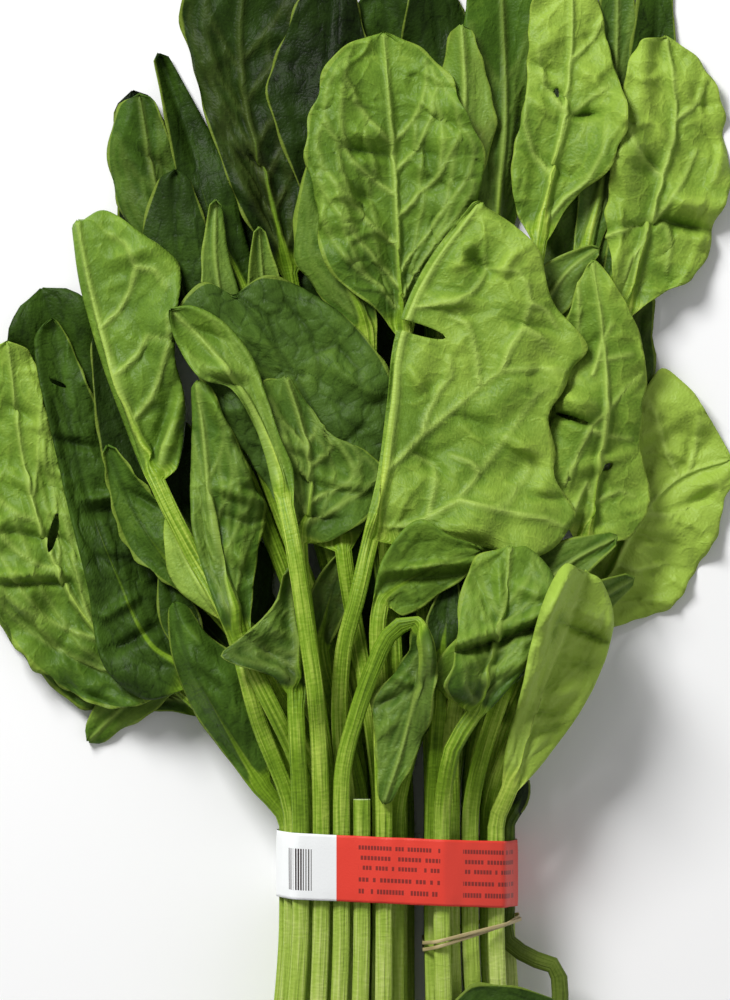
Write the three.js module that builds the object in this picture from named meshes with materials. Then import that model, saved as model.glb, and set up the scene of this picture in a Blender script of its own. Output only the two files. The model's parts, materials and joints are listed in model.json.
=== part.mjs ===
// A tied bunch of fresh spinach, lying on its side.
//
// Each leaf is one closed solid: a stalk that runs through the paper band, and a blade on the
// stalk's end. The leaves are laid one after another, the lowest row first, and each one sinks
// until it rests on those below it. A paper band holds all the stalks together, and a rubber
// band, wound twice, holds the stalks of the right half.
//
// Millimetres. The origin is the middle of the paper band's flat underside, which rests on the
// table. +Y runs along the stalks to the leaf tips, and +Z is up.
import * as THREE from 'three';

// ---------- driving dimensions ----------
const STALK = { wide: 5.0, thick: 4.7 };       // a usual stalk's section
const ROW = { pitch: 5.75, lowest: 3.55 };      // rows of stalks inside the band, from middle to middle
const PAPER = { width: 19.5, thick: 0.8, slack: 0.4, slope: -0.045, facets: 36 };
const RUBBER = {
  wide: 1.1, thick: 0.5, slack: 0.22,          // one strand, and its air to the stalks
  apart: 0.35, spread: 1.3,                    // how far the two turns part, outwards and along
  middle: -24.4, slope: 0.27,                  // where they lie along the stalks
  facets: 28, firstStalk: 5,
};
const HELD = 12.5;            // the stalks are straight this far either side of the origin
const FAN = 46;               // up to here the stalks of one row lie side by side
const FOOT_SPREAD = 1.12;     // the cut ends stand this much wider apart than inside the band
const BLADE = { half: 0.6, rib: 1.0 };   // half heights of the blade and of its midrib
const SAG = 0.22;             // how strongly a leaf bends down under its own weight
const AIR = 0.55;             // air between one leaf and the next
const STEP = 26;              // longest step between two stations along a stalk
const MAP = { left: -170, right: 140, front: -100, back: 310 };   // the table area that is used

// ---------- the leaves ----------
// row, slot   the seat of the stalk inside the band: its row from the table up, and its X
// foot        Y of the stalk's cut end
// via         points that the stalk passes between the band and the blade
// rib         points that the midrib passes, from the blade's base to its tip
// left, right the two margins from base to tip: points, or distances from the midrib at even steps
// cup         height of the left and of the right margin over the midrib
const LEAVES = [
  // lowest row: leaves that show only at the edges and from below
  { name: 'leaf_under_left', row: 0, slot: -19.8, foot: -70,
    rib: [[-42, 66], [-66, 96], [-90, 130], [-107, 172]], left: [3, 16, 20, 18, 14],
    right: [3, 18, 22, 20, 12], cup: [1, -2] },
  { name: 'leaf_black_tip', row: 0, slot: -14.3, foot: -66,
    rib: [[-48, 138], [-60, 170], [-72, 202], [-80, 231]], left: [3, 14, 16, 14, 6],
    right: [3, 14, 15, 11, 5], cup: [-2, 2] },
  { name: 'leaf_under_middle_left', row: 0, slot: -8.8, foot: -72,
    rib: [[-22, 110], [-34, 145], [-44, 180], [-50, 212]], left: [3, 20, 26, 20, 4],
    right: [3, 20, 26, 20, 4], cup: [-3, 3] },
  { name: 'leaf_under_middle', row: 0, slot: -3.3, foot: -62,
    rib: [[-1, 125], [0, 165], [-1, 205], [-5, 263]], left: [3, 22, 28, 23, 8],
    right: [3, 22, 28, 20, 9], cup: [3, -2] },
  { name: 'leaf_back_dark', row: 0, slot: 9.4, foot: -69,
    rib: [[10, 160], [12, 196], [12, 230], [9, 264]], left: [3, 14, 19, 17, 6],
    right: [3, 15, 20, 18, 6], cup: [2, 2] },
  { name: 'leaf_under_right', row: 0, slot: 14.9, foot: -65,
    rib: [[36, 105], [50, 135], [62, 165], [70, 192]], left: [3, 22, 26, 20, 4],
    right: [3, 17, 20, 15, 4], cup: [-2, 3] },
  { name: 'leaf_under_right_low', row: 0, slot: 20.4, foot: -60,
    rib: [[36, 50], [46, 66], [59, 83], [72, 100]], left: [3, 15, 19, 15, 3], right: [3, 8, 9, 8, 3],
    cup: [2, -1] },

  // second row
  { name: 'leaf_low_left_long', row: 1, slot: -31, foot: -66,
    rib: [[-58, 46], [-78, 57], [-99, 67], [-124, 84]],
    left: [[-70, 46], [-92, 46], [-106, 56], [-119, 71]],
    right: [[-64, 60], [-82, 84], [-104, 104], [-122, 108]], cup: [-3, 2] },
  { name: 'leaf_low_left_tip', row: 1, slot: -25.5, foot: -60, via: [[-42, 42]],
    rib: [[-58, 56], [-70, 56], [-82, 48], [-93, 37]], left: [3, 6, 7, 6, 3], right: [3, 9, 10, 7, 3],
    cup: [-2, -2] },
  { name: 'leaf_under_left_low', row: 1, slot: -20, foot: -64,
    rib: [[-38, 48], [-51, 64], [-68, 81], [-88, 95]], left: [3, 12, 16, 14, 3],
    right: [4, 22, 30, 22, 5], cup: [-1, 3] },
  { name: 'leaf_olive_top_left', row: 1, slot: -14.5, foot: -63,
    rib: [[-54, 160], [-64, 180], [-73, 202], [-78, 230]],
    left: [[-66, 172], [-82, 192], [-87, 210], [-84, 226]], right: [3, 8, 11, 10, 4], cup: [-3, 2] },
  { name: 'leaf_pointed_top_left', row: 1, slot: -9, foot: -73,
    rib: [[-44, 165], [-56, 192], [-64, 218], [-72, 242]], left: [3, 6, 7, 6, 2],
    right: [3, 8, 10, 7, 2], cup: [2, -2] },
  { name: 'leaf_top_left_big', row: 1, slot: -3.5, foot: -60,
    rib: [[-33, 176], [-39, 200], [-46, 226], [-48, 250], [-45, 272]],
    left: [[-46, 192], [-55, 214], [-62, 238], [-65, 257], [-57, 269]],
    right: [[-22, 190], [-19, 212], [-20, 238], [-24, 258], [-34, 269]], cup: [-3, -3] },
  { name: 'leaf_under_centre_low', row: 1, slot: 1.6, foot: -74,
    rib: [[-1, 52], [-2, 74], [0, 98], [4, 120]], left: [3, 17, 22, 18, 4], right: [3, 20, 27, 23, 5],
    cup: [-2, 3] },
  { name: 'leaf_top_curled', row: 1, slot: 9.4, foot: -61,
    rib: [[26, 170], [29, 198], [31, 226], [30, 268]], left: [3, 9, 13, 13, 9],
    right: [3, 9, 12, 11, 9], cup: [5, 0] },
  { name: 'leaf_behind_right', row: 1, slot: 14.9, foot: -65,
    rib: [[40, 150], [48, 170], [55, 190], [60, 210]], left: [3, 10, 13, 11, 4],
    right: [3, 10, 12, 10, 4], cup: [-2, 2] },
  { name: 'leaf_top_grey', row: 1, slot: 20.4, foot: -70,
    rib: [[54, 178], [60, 204], [64, 234], [65, 266]], left: [3, 8, 10, 9, 4], right: [3, 7, 9, 8, 4],
    cup: [2, 2] },
  { name: 'leaf_corner_tip', row: 1, slot: 25.9, foot: -71,
    rib: [[62, 168], [70, 200], [75, 232], [77, 266]], left: [3, 7, 9, 8, 5], right: [3, 7, 8, 8, 4],
    cup: [2, 2] },
  { name: 'leaf_right_light', row: 1, slot: 31.4, foot: -67,
    rib: [[57, 72], [64, 90], [72, 105], [84, 116], [99, 121]],
    left: [[55, 88], [61, 112], [69, 138], [77, 147], [87, 140], [95, 129]],
    right: [[64, 71], [78, 76], [88, 88], [95, 103], [99, 113]], cup: [2, -4] },

  // third row
  { name: 'leaf_far_left', row: 2, slot: -33.5, foot: -69,
    rib: [[-66, 54], [-85, 64], [-100, 84], [-111, 114], [-117, 156]],
    left: [[-82, 47], [-99, 52], [-117, 70], [-131, 102], [-131, 138], [-124, 153]],
    right: [[-72, 64], [-82, 80], [-94, 100], [-102, 122], [-106, 140], [-111, 153]], cup: [-4, -3] },
  { name: 'leaf_left_dark_rolled', row: 2, slot: -28, foot: -74,
    rib: [[-58, 56], [-74, 66], [-84, 86], [-94, 112], [-100, 138], [-104, 163]],
    left: [[-76, 50], [-88, 60], [-93, 84], [-99, 108], [-104, 130], [-109, 156]],
    right: [[-62, 58], [-65, 72], [-71, 94], [-79, 114], [-90, 136], [-99, 157]], cup: [-4, -3] },
  { name: 'leaf_left_shadow', row: 2, slot: -22.5, foot: -62,
    rib: [[-56, 88], [-70, 112], [-81, 136], [-89, 160]], left: [3, 11, 13, 11, 4],
    right: [3, 13, 15, 13, 4], cup: [2, 2] },
  { name: 'leaf_round_shade', row: 2, slot: -17, foot: -66,
    rib: [[-58, 150], [-64, 168], [-67, 188], [-67, 207]], left: [3, 11, 13, 12, 4],
    right: [3, 11, 13, 11, 4], cup: [-3, -2] },
  { name: 'leaf_upright_light', row: 2, slot: -11.5, foot: -69,
    rib: [[-48, 142], [-52, 160], [-55, 180], [-55, 198]], left: [3, 5, 6, 5, 1.5],
    right: [3, 5, 6, 4, 1.5], cup: [2, 2] },
  { name: 'leaf_small_upright', row: 2, slot: -6, foot: -71,
    rib: [[-34, 146], [-39, 160], [-41, 175], [-42, 190]], left: [3, 6, 6, 5, 1.5],
    right: [3, 6, 7, 6, 1.5], cup: [3, 2] },
  { name: 'leaf_top_dark', row: 2, slot: -0.5, foot: -68,
    rib: [[-17, 182], [-21, 205], [-22, 232], [-20, 264]], left: [3, 13, 18, 16, 8],
    right: [3, 13, 17, 14, 6], cup: [2, -2] },
  { name: 'leaf_back_pale', row: 2, slot: 9.4, foot: -72,
    rib: [[14, 190], [17, 208], [19, 230], [18, 250]], left: [3, 9, 11, 9, 3], right: [3, 9, 10, 9, 3],
    cup: [-2, 2] },
  { name: 'leaf_pointed_right', row: 2, slot: 14.9, foot: -64,
    rib: [[36, 158], [43, 168], [50, 177], [59, 184]], left: [3, 7, 8, 5, 1.5],
    right: [3, 6, 7, 5, 1.5], cup: [2, 2] },
  { name: 'leaf_top_right', row: 2, slot: 20.4, foot: -68,
    rib: [[66, 164], [72, 185], [78, 205], [82, 226], [79, 247]],
    left: [[63, 176], [61, 192], [64, 213], [67, 233], [70, 245]],
    right: [[77, 170], [88, 176], [92.5, 190], [98.5, 203], [97, 222], [90, 239]], cup: [-4, -3] },
  { name: 'leaf_right_dark', row: 2, slot: 25.9, foot: -73,
    rib: [[54, 96], [58, 115], [61, 135], [60, 158], [57, 180]],
    left: [[46, 108], [44, 125], [46, 145], [50, 165]],
    right: [[69, 99], [74, 110], [71, 125], [73, 145], [70, 161], [64, 172]], cup: [-2, -3] },
  { name: 'leaf_right_stub', row: 2, slot: 31.4, foot: -62,
    footVia: [[31.2, -21], [38, -26.5], [46, -30], [47, -43]], footX: 44,
    rib: [[33, 16], [35.5, 20], [36.5, 23], [36.5, 27]], left: [2.5, 3, 3, 1.5],
    right: [2.5, 2.5, 2, 1.5], cup: [0, 0] },

  // fourth row
  { name: 'leaf_left_point_down', row: 3, slot: -28, foot: -72, via: [[-46, 50]],
    rib: [[-58, 60], [-64, 70], [-68, 82], [-70, 94]], left: [3, 5, 6, 5, 1.5],
    right: [3, 5, 6, 5, 1.5], cup: [-3, 1.5] },
  { name: 'leaf_left_ruffled', row: 3, slot: -22.5, foot: -61, via: [[-41, 58]],
    rib: [[-58, 80], [-70, 92], [-80, 107], [-87, 125]], left: [3, 6, 7, 6, 2],
    right: [3, 9, 10, 8, 2], cup: [2, 4] },
  { name: 'leaf_left_lobe', row: 3, slot: -17, foot: -68, via: [[-32, 58]],
    rib: [[-52, 76], [-60, 85], [-65, 94], [-68, 105]], left: [3, 5, 7, 6, 2], right: [3, 5, 6, 5, 2],
    cup: [-2, -2] },
  { name: 'leaf_grey_crumpled', row: 3, slot: -11.5, foot: -66,
    rib: [[-24, 64], [-22, 76], [-18, 88], [-11, 98]], left: [3, 5, 6, 5, 1.5], right: [3, 5, 6, 5, 2],
    cup: [3, 3] },
  { name: 'leaf_top_middle_behind', row: 3, slot: -0.5, foot: -60,
    rib: [[-10, 158], [-17, 176], [-22, 194], [-25, 213]], left: [3, 11, 13, 10, 2],
    right: [3, 8, 9, 8, 2], cup: [-2, 2] },
  { name: 'leaf_top_middle', row: 3, slot: 9.4, foot: -67,
    rib: [[1, 158], [-0.5, 178], [-1.5, 200], [-3, 223], [-5, 248]],
    left: [[-8, 166], [-20, 176], [-26, 194], [-28, 212], [-25, 230], [-16, 244]],
    right: [[8, 172], [19, 186], [25, 203], [24, 216], [17, 230], [6, 243]], cup: [-3, -4] },
  { name: 'leaf_dark_round', row: 3, slot: -6, foot: -73,
    rib: [[-17, 94], [-19, 112], [-24, 130], [-34, 150], [-49, 170]],
    left: [[-29, 98], [-40, 112], [-52, 132], [-61, 150], [-66, 164], [-58, 173]],
    right: [[-8, 106], [-2, 120], [-1, 138], [-8, 154], [-24, 170], [-40, 175]], cup: [-4, -3] },
  { name: 'leaf_top_bright', row: 3, slot: 14.9, foot: -71,
    rib: [[41, 186], [45, 205], [49, 224], [51, 246], [51, 271]],
    left: [[33, 199], [34, 215], [38, 236], [39, 256]],
    right: [[52, 199], [62, 208], [67, 222], [63, 242], [59, 257]], cup: [-4, -3] },
  { name: 'leaf_right_inner', row: 3, slot: 20.4, foot: -63,
    rib: [[33, 70], [41, 82], [51, 91], [64, 98]], left: [3, 8, 9, 7, 2], right: [3, 7, 8, 6, 2],
    cup: [-2, 2] },
  { name: 'leaf_right_low_inner', row: 3, slot: 25.9, foot: -70,
    rib: [[39, 52], [48, 66], [57, 78], [69, 86]], left: [3, 8, 9, 7, 2], right: [3, 7, 8, 6, 2],
    cup: [2, -2] },
  { name: 'leaf_left_edge', row: 3, slot: -33.5, foot: -65,
    rib: [[-41, 24], [-49, 37], [-57, 51], [-64, 65], [-67, 79]], left: [3, 4, 5, 6, 6, 2],
    right: [3, 9, 14, 16, 12, 3], cup: [-3, -2] },

  // fifth row
  { name: 'leaf_left_bright', row: 4, slot: -32, foot: -69, via: [[-42, 44], [-50, 72], [-62, 94]],
    rib: [[-72, 114], [-79, 132], [-86, 151], [-92, 172], [-96, 192]], left: [2.5, 3, 3, 3, 3, 3, 2],
    right: [[-66, 119], [-64, 137], [-67, 152], [-66, 166], [-66, 179], [-77, 188], [-88, 195]],
    cup: [-1, -5] },
  { name: 'leaf_left_folded_mid', row: 4, slot: -26.5, foot: -63,
    rib: [[-47, 68], [-52, 86], [-56, 106], [-58, 127], [-60, 144]], left: [3, 5, 6, 6, 5, 3, 2],
    right: [3, 10, 15, 16, 13, 9, 3], cup: [-2, -5] },
  { name: 'leaf_hand_shaped', row: 4, slot: -21, foot: -64, via: [[-26, 60]],
    rib: [[-30, 96], [-27, 107], [-27, 120], [-30, 133], [-34, 145]],
    left: [[-36, 106], [-38, 121], [-40, 135], [-41, 144]],
    right: [[-20, 97], [-10, 104], [-3, 114], [-10, 123], [-20, 128], [-28, 138]], cup: [-3, -3] },
  { name: 'leaf_centre_big', row: 4, slot: -15.5, foot: -61, via: [[-18, 42], [-17, 64], [-13, 80]],
    rib: [[-9, 97], [-4.5, 115], [-1.5, 137], [1, 157], [9, 176], [24, 197]],
    left: [2.5, 2.5, 2.5, 2.5, 2.5, 2.5, 2],
    right: [[6, 95], [24, 94], [40, 92], [52, 101], [46, 115], [44, 131], [50, 146], [54, 154],
            [47, 168], [40, 184]], cup: [-1, -6] },
  { name: 'leaf_strip_middle', row: 4, slot: -1.5, foot: -68,
    rib: [[4, 40], [9, 49], [14, 58], [17, 67]], left: [3, 5, 6, 5, 1.5], right: [3, 5, 6, 5, 1.5],
    cup: [1, 1] },
  { name: 'leaf_dark_patch', row: 4, slot: 9.4, foot: -70,
    rib: [[12, 62], [13, 70], [14, 78], [15, 86]], left: [3, 5, 6, 5, 2], right: [3, 4, 5, 4, 2],
    cup: [1, 1] },
  { name: 'leaf_right_shaded', row: 4, slot: 14.9, foot: -64,
    rib: [[16, 50], [24, 57], [32, 65], [41, 76]], left: [[9, 58], [17, 69], [30, 78]],
    right: [[24, 50], [33, 58], [40, 68]], cup: [-2, -1] },
  { name: 'leaf_right_stalk', row: 4, slot: 20.4, foot: -60,
    rib: [[31, 56], [38, 66], [46, 76], [54, 84]], left: [3, 6, 7, 5, 2], right: [3, 6, 7, 5, 2],
    cup: [-2, 1] },

  // top row, and the leaves that lie over everything
  { name: 'leaf_mid_lobe', row: 5, slot: -29.5, foot: -67, via: [[-30.5, 38]],
    rib: [[-31, 52], [-31, 64], [-32, 76], [-33, 89]],
    left: [[-38, 57], [-53, 63], [-45, 70], [-37, 79]], right: [3, 3, 3, 2], cup: [2, 0] },
  { name: 'leaf_centre_folded', row: 5, slot: -5, foot: -71, via: [[-6, 50]],
    rib: [[-6, 78], [2, 85], [12, 90], [24, 94]], left: [[-5, 92], [5, 103], [15, 98]],
    right: [[1, 75], [11, 81], [21, 88]], cup: [-2, -3] },
  { name: 'stalk_cut_short', row: 5, slot: -11.5, foot: -66, bare: 21 },
  { name: 'leaf_hanging_crumpled', row: 5, slot: -17.5, foot: -67,
    via: [[-17, 30], [-13, 46], [-8, 60], [-3, 70]],
    rib: [[4, 73], [7, 64], [4, 50], [0, 35], [-5, 20]], left: [2.2, 3, 5, 6, 5, 2],
    right: [2.2, 4, 9, 12, 9, 2], cup: [-1, -2] },
  { name: 'leaf_rolled_mid', row: 5, slot: -23.5, foot: -72, via: [[-25, 50], [-28, 72], [-31, 92]],
    rib: [[-34, 107], [-38, 122], [-45, 138], [-55, 152], [-68, 165]],
    left: [[-38, 117], [-43, 131], [-50, 142], [-59, 145], [-66, 155]],
    right: [[-32, 118], [-36, 128], [-40, 140], [-44, 151], [-52, 161], [-61, 166]], cup: [-4, -5] },
  { name: 'leaf_right_folded', row: 5, slot: 12, foot: -65, via: [[15, 36]],
    rib: [[21, 46], [26, 60], [29, 72], [31, 84], [32, 95]],
    left: [[13, 54], [15, 61], [16, 69], [18, 80], [22, 92]],
    right: [[29, 51], [38, 62], [44, 73], [46, 80], [44, 88], [37, 95]], cup: [-2, -3] },
  { name: 'leaf_right_pale_folded', row: 4, slot: 28, foot: -74,
    rib: [[32, 24], [37, 41], [43, 58], [49, 73], [54, 88]],
    left: [[31, 36], [35, 51], [38, 66], [42, 80], [48, 90]],
    right: [[43, 33], [53.5, 48], [60.5, 63], [62.5, 75], [59, 85]], cup: [-1, -1] },

  // a leaf caught between the cut ends
  { name: 'leaf_foot', row: 5, foot: -84, stalk: [[9, -84], [9, -72]],
    rib: [[12, -56], [20, -46], [32, -41], [46, -40]], left: [3, 10, 9, 7, 2], right: [3, 7, 8, 7, 2],
    cup: [-2, -3] },
];

// ---------- small sums ----------
const mix = (a, b, t) => a + (b - a) * t;
const ease = (t) => t * t * (3 - 2 * t);
const clamp = (v, low, high) => Math.min(high, Math.max(low, v));
const apart = (p, q) => Math.hypot(q[0] - p[0], q[1] - p[1]);

// A smooth curve through points: at(d) is the point a distance d along the chords. A first
// direction may be given, so that a stalk leaves the band straight.
function curve(points, firstWay) {
  const marks = [0];
  for (let i = 1; i < points.length; i += 1) marks.push(marks[i - 1] + apart(points[i - 1], points[i]));
  const ways = points.map((p, i) => {
    const a = points[Math.max(0, i - 1)];
    const b = points[Math.min(points.length - 1, i + 1)];
    const run = marks[Math.min(points.length - 1, i + 1)] - marks[Math.max(0, i - 1)];
    return [(b[0] - a[0]) / run, (b[1] - a[1]) / run];
  });
  if (firstWay) ways[0] = firstWay;
  const at = (distance) => {
    const d = clamp(distance, 0, marks[marks.length - 1]);
    let i = 1;
    while (i < points.length - 1 && marks[i] < d) i += 1;
    const run = marks[i] - marks[i - 1];
    const t = (d - marks[i - 1]) / run;
    const rise = ease(t);
    const out = t * (1 - t) * (1 - t) * run;
    const back = t * t * (t - 1) * run;
    return [0, 1].map((k) => {
      const straight = mix(points[i - 1][k], points[i][k], rise);
      return straight + out * ways[i - 1][k] + back * ways[i][k];
    });
  };
  return { at, marks, length: marks[marks.length - 1] };
}

// The unit vector to the left of a curve, seen from above.
function leftOf(path, d) {
  const a = path.at(d - 0.5);
  const b = path.at(d + 0.5);
  const run = apart(a, b);
  return [-(b[1] - a[1]) / run, (b[0] - a[0]) / run];
}

// ---------- a leaf's plan ----------
// A station is one section of the leaf: the middle, the points of the two margins, and how far
// along the blade it is (0 at the base, 1 at the tip; below 0 on the stalk).
function stationsOf(leaf) {
  const stations = [];
  const half = STALK.wide / 2;
  const stalkStation = (middle, left, held) => {
    const reach = [half * left[0], half * left[1]];
    stations.push({
      middle, held, along: -1,
      margins: [
        [middle[0] + reach[0], middle[1] + reach[1]],
        [middle[0] - reach[0], middle[1] - reach[1]],
      ],
    });
  };

  // below the band
  let points;
  if (leaf.stalk) {
    points = [...leaf.stalk, ...leaf.rib];
  } else {
    const footX = leaf.footX ?? leaf.slot * FOOT_SPREAD;
    const below = curve([[leaf.slot, -HELD], ...(leaf.footVia ?? []), [footX, leaf.foot]], [0, -1]);
    const steps = leaf.footVia ? 6 : 2;
    for (let k = steps; k >= 1; k -= 1) {
      const d = below.length * k / steps;
      const left = leftOf(below, d);
      stalkStation(below.at(d), [-left[0], -left[1]], true);
    }
    stalkStation([leaf.slot, -HELD], [-1, 0], true);
    points = [[leaf.slot, HELD], ...(leaf.via ?? []), ...(leaf.rib ?? [[leaf.slot, leaf.bare]])];
  }

  // above the band
  const path = curve(points, leaf.stalk ? undefined : [0, 1]);
  const first = points.length - (leaf.rib?.length ?? 1);
  const base = path.marks[first];
  const stalkSteps = Math.ceil(base / (leaf.via ? STEP * 0.6 : STEP));
  for (let k = 0; k < stalkSteps; k += 1) {
    const d = base * k / stalkSteps;
    stalkStation(path.at(d), leftOf(path, d), k === 0 && !leaf.stalk);
  }
  if (leaf.bare) {
    stalkStation([leaf.slot, leaf.bare], [-1, 0], true);
    return stations;
  }

  // the blade
  const bladeLength = path.length - base;
  const bladeSteps = clamp(Math.round(bladeLength / 10), 4, 8);
  const margin = (side, edge) => {
    if (!Array.isArray(edge[0])) {
      const reaches = curve(edge.map((r, i) => [i, r]));
      return (u) => {
        const d = base + bladeLength * u;
        const left = leftOf(path, d);
        const reach = Math.max(1, reaches.at(reaches.length * u)[1]) * side;
        const middle = path.at(d);
        return [middle[0] + left[0] * reach, middle[1] + left[1] * reach];
      };
    }
    const ends = [base, path.length].map((d, i) => {
      const left = leftOf(path, d);
      const reach = (i === 0 ? half : 1.2) * side;
      const middle = path.at(d);
      return [middle[0] + left[0] * reach, middle[1] + left[1] * reach];
    });
    const outline = curve([ends[0], ...edge, ends[1]]);
    return (u) => outline.at(outline.length * u);
  };
  const leftMargin = margin(1, leaf.left);
  const rightMargin = margin(-1, leaf.right);
  for (let k = 0; k <= bladeSteps; k += 1) {
    const u = k / bladeSteps;
    const middle = path.at(base + bladeLength * u);
    stations.push({ middle, along: u, margins: [leftMargin(u), rightMargin(u)] });
  }
  return stations;
}

// Turn the stations into rows of knots. A knot has its place in the plan, its height over the
// leaf's middle surface, and half the leaf's thickness there.
function knotsOf(leaf) {
  const stations = stationsOf(leaf);
  const widest = Math.max(...stations.map((s) => apart(s.margins[0], s.margins[1])));
  const shares = widest > 34 ? [1, 0.66, 0.33, 0, 0.33, 0.66, 1] : [1, 0.5, 0, 0.5, 1];
  const centre = (shares.length - 1) / 2;
  return stations.map((station) => {
    const onStalk = station.along <= 0;
    const u = Math.max(0, station.along);
    return shares.map((share, j) => {
      const side = j < centre ? 0 : 1;
      const round = Math.sin(share * Math.PI / 2);
      const s = onStalk ? round : share;
      const edge = station.margins[side];
      const bladeHalf = share === 0 ? mix(BLADE.rib, BLADE.half, u) : BLADE.half;
      return {
        x: mix(station.middle[0], edge[0], s),
        y: mix(station.middle[1], edge[1], s),
        lift: onStalk ? 0 : (leaf.cup?.[side] ?? 0) * share * share * ease(Math.min(1, u * 3)),
        half: share === 1 ? 0 : (onStalk ? STALK.thick / 2 * Math.sqrt(1 - round * round) : bladeHalf),
        held: station.held ?? false,
        stalk: onStalk,
      };
    });
  });
}

// ---------- the pile ----------
const MAP_WIDE = MAP.right - MAP.left;
const MAP_LONG = MAP.back - MAP.front;
const pile = new Float32Array(MAP_WIDE * MAP_LONG).fill(-AIR);       // height of all that is laid
const underRow = new Float32Array(MAP_WIDE * MAP_LONG).fill(-AIR);   // the same without this row's stalks
const cellOf = (x, y) => Math.floor(x - MAP.left) + MAP_WIDE * Math.floor(y - MAP.front);

function highestNear(map, x, y) {
  const cell = cellOf(x, y);
  let high = -Infinity;
  for (let dy = -1; dy <= 1; dy += 1) {
    for (let dx = -1; dx <= 1; dx += 1) high = Math.max(high, map[cell + dx + dy * MAP_WIDE]);
  }
  return high;
}

// Every triangle of a leaf's upper side, as three knots.
function trianglesOf(knots) {
  const list = [];
  for (let i = 0; i + 1 < knots.length; i += 1) {
    for (let j = 0; j + 1 < knots[i].length; j += 1) {
      list.push([knots[i][j], knots[i + 1][j], knots[i][j + 1]]);
      list.push([knots[i][j + 1], knots[i + 1][j], knots[i + 1][j + 1]]);
    }
  }
  return list;
}

// Call visit with the weights of the three corners, at places less than a millimetre apart.
function acrossTriangle([a, b, c], visit) {
  const sides = [[a, b], [b, c], [c, a]].map(([p, q]) => Math.hypot(p.x - q.x, p.y - q.y));
  const longest = Math.max(...sides);
  const n = Math.ceil(longest / 0.9) + 1;
  for (let i = 0; i <= n; i += 1) {
    for (let j = 0; j <= n - i; j += 1) {
      const w = [i / n, j / n, (n - i - j) / n];
      visit(w, w[0] * a.x + w[1] * b.x + w[2] * c.x, w[0] * a.y + w[1] * b.y + w[2] * c.y);
    }
  }
}

// Let a leaf sink: every knot falls a little under the mean of its neighbours, and is lifted
// again wherever the leaf's underside would come too near to what lies below.
function settle(leaf, knots, seatHeight) {
  const columns = knots[0].length;
  for (const knot of knots.flat()) knot.z = seatHeight;
  const limits = [];
  for (const corners of trianglesOf(knots)) {
    if (corners.every((k) => k.held)) continue;
    acrossTriangle(corners, (w, x, y) => {
      const loose = corners.reduce((sum, k, i) => sum + (k.held ? 0 : w[i] * w[i]), 0);
      if (loose < 0.05) return;
      const fanned = corners.some((k) => k.stalk) && y < FAN;
      const ground = highestNear(fanned ? underRow : pile, x, y);
      const under = corners.reduce((sum, k, i) => sum + w[i] * (k.lift - k.half), 0);
      limits.push({ corners, w, loose, least: ground + AIR - under });
    });
  }
  const lift = () => {
    let worst = 0;
    for (const { corners, w, loose, least } of limits) {
      const short = least - (w[0] * corners[0].z + w[1] * corners[1].z + w[2] * corners[2].z);
      if (short <= 0) continue;
      worst = Math.max(worst, short);
      corners.forEach((k, i) => { if (!k.held) k.z += short * w[i] / loose; });
    }
    return worst;
  };
  const level = (row) => {
    const mean = row.reduce((sum, k) => sum + k.z, 0) / columns;
    row.forEach((k) => { k.z = mean; });
  };
  for (let round = 0; round < 60; round += 1) {
    for (let i = 0; i < knots.length; i += 1) {
      for (let j = 0; j < columns; j += 1) {
        const knot = knots[i][j];
        if (knot.held) continue;
        const near = [knots[i - 1]?.[j], knots[i + 1]?.[j]];
        if (!knot.stalk) near.push(knots[i][j - 1], knots[i][j + 1]);
        const there = near.filter(Boolean);
        knot.z = there.reduce((sum, k) => sum + k.z, 0) / there.length - SAG;
      }
      if (knots[i][0].stalk && !knots[i][0].held) level(knots[i]);
    }
    lift();
  }
  for (let round = 0; round < 200 && lift() > 0.01; round += 1) {
    for (const row of knots) {
      if (!row[0].stalk || row[0].held) continue;
      const highest = Math.max(...row.map((k) => k.z));
      for (const k of row) k.z = highest;
    }
  }
}

// Write a laid leaf's upper side into the height maps.
function addToPile(knots) {
  for (const corners of trianglesOf(knots)) {
    const isStalk = corners.some((k) => k.stalk);
    acrossTriangle(corners, (w, x, y) => {
      const top = corners.reduce((sum, k, i) => sum + w[i] * (k.z + k.lift + k.half), 0);
      const cell = cellOf(x, y);
      pile[cell] = Math.max(pile[cell], top);
      if (!(isStalk && y < FAN)) underRow[cell] = Math.max(underRow[cell], top);
    });
  }
}

// ---------- solids ----------
function solid(name, rings, colour, roughness, closed) {
  const places = [];
  const faces = [];
  const n = rings[0].length;
  for (const ring of rings) for (const p of ring) places.push(...p);
  const rounds = closed ? rings.length : rings.length - 1;
  for (let i = 0; i < rounds; i += 1) {
    const a = i * n;
    const b = ((i + 1) % rings.length) * n;
    for (let j = 0; j < n; j += 1) {
      const k = (j + 1) % n;
      faces.push(a + j, b + j, a + k, a + k, b + j, b + k);
    }
  }
  return meshOf(name, places, faces, colour, roughness);
}

function meshOf(name, places, faces, colour, roughness) {
  const geometry = new THREE.BufferGeometry();
  geometry.setAttribute('position', new THREE.Float32BufferAttribute(places, 3));
  geometry.setIndex(faces);
  geometry.computeVertexNormals();
  const material = new THREE.MeshStandardMaterial({ color: colour, roughness, metalness: 0 });
  const mesh = new THREE.Mesh(geometry, material);
  mesh.name = name;
  return mesh;
}

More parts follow.
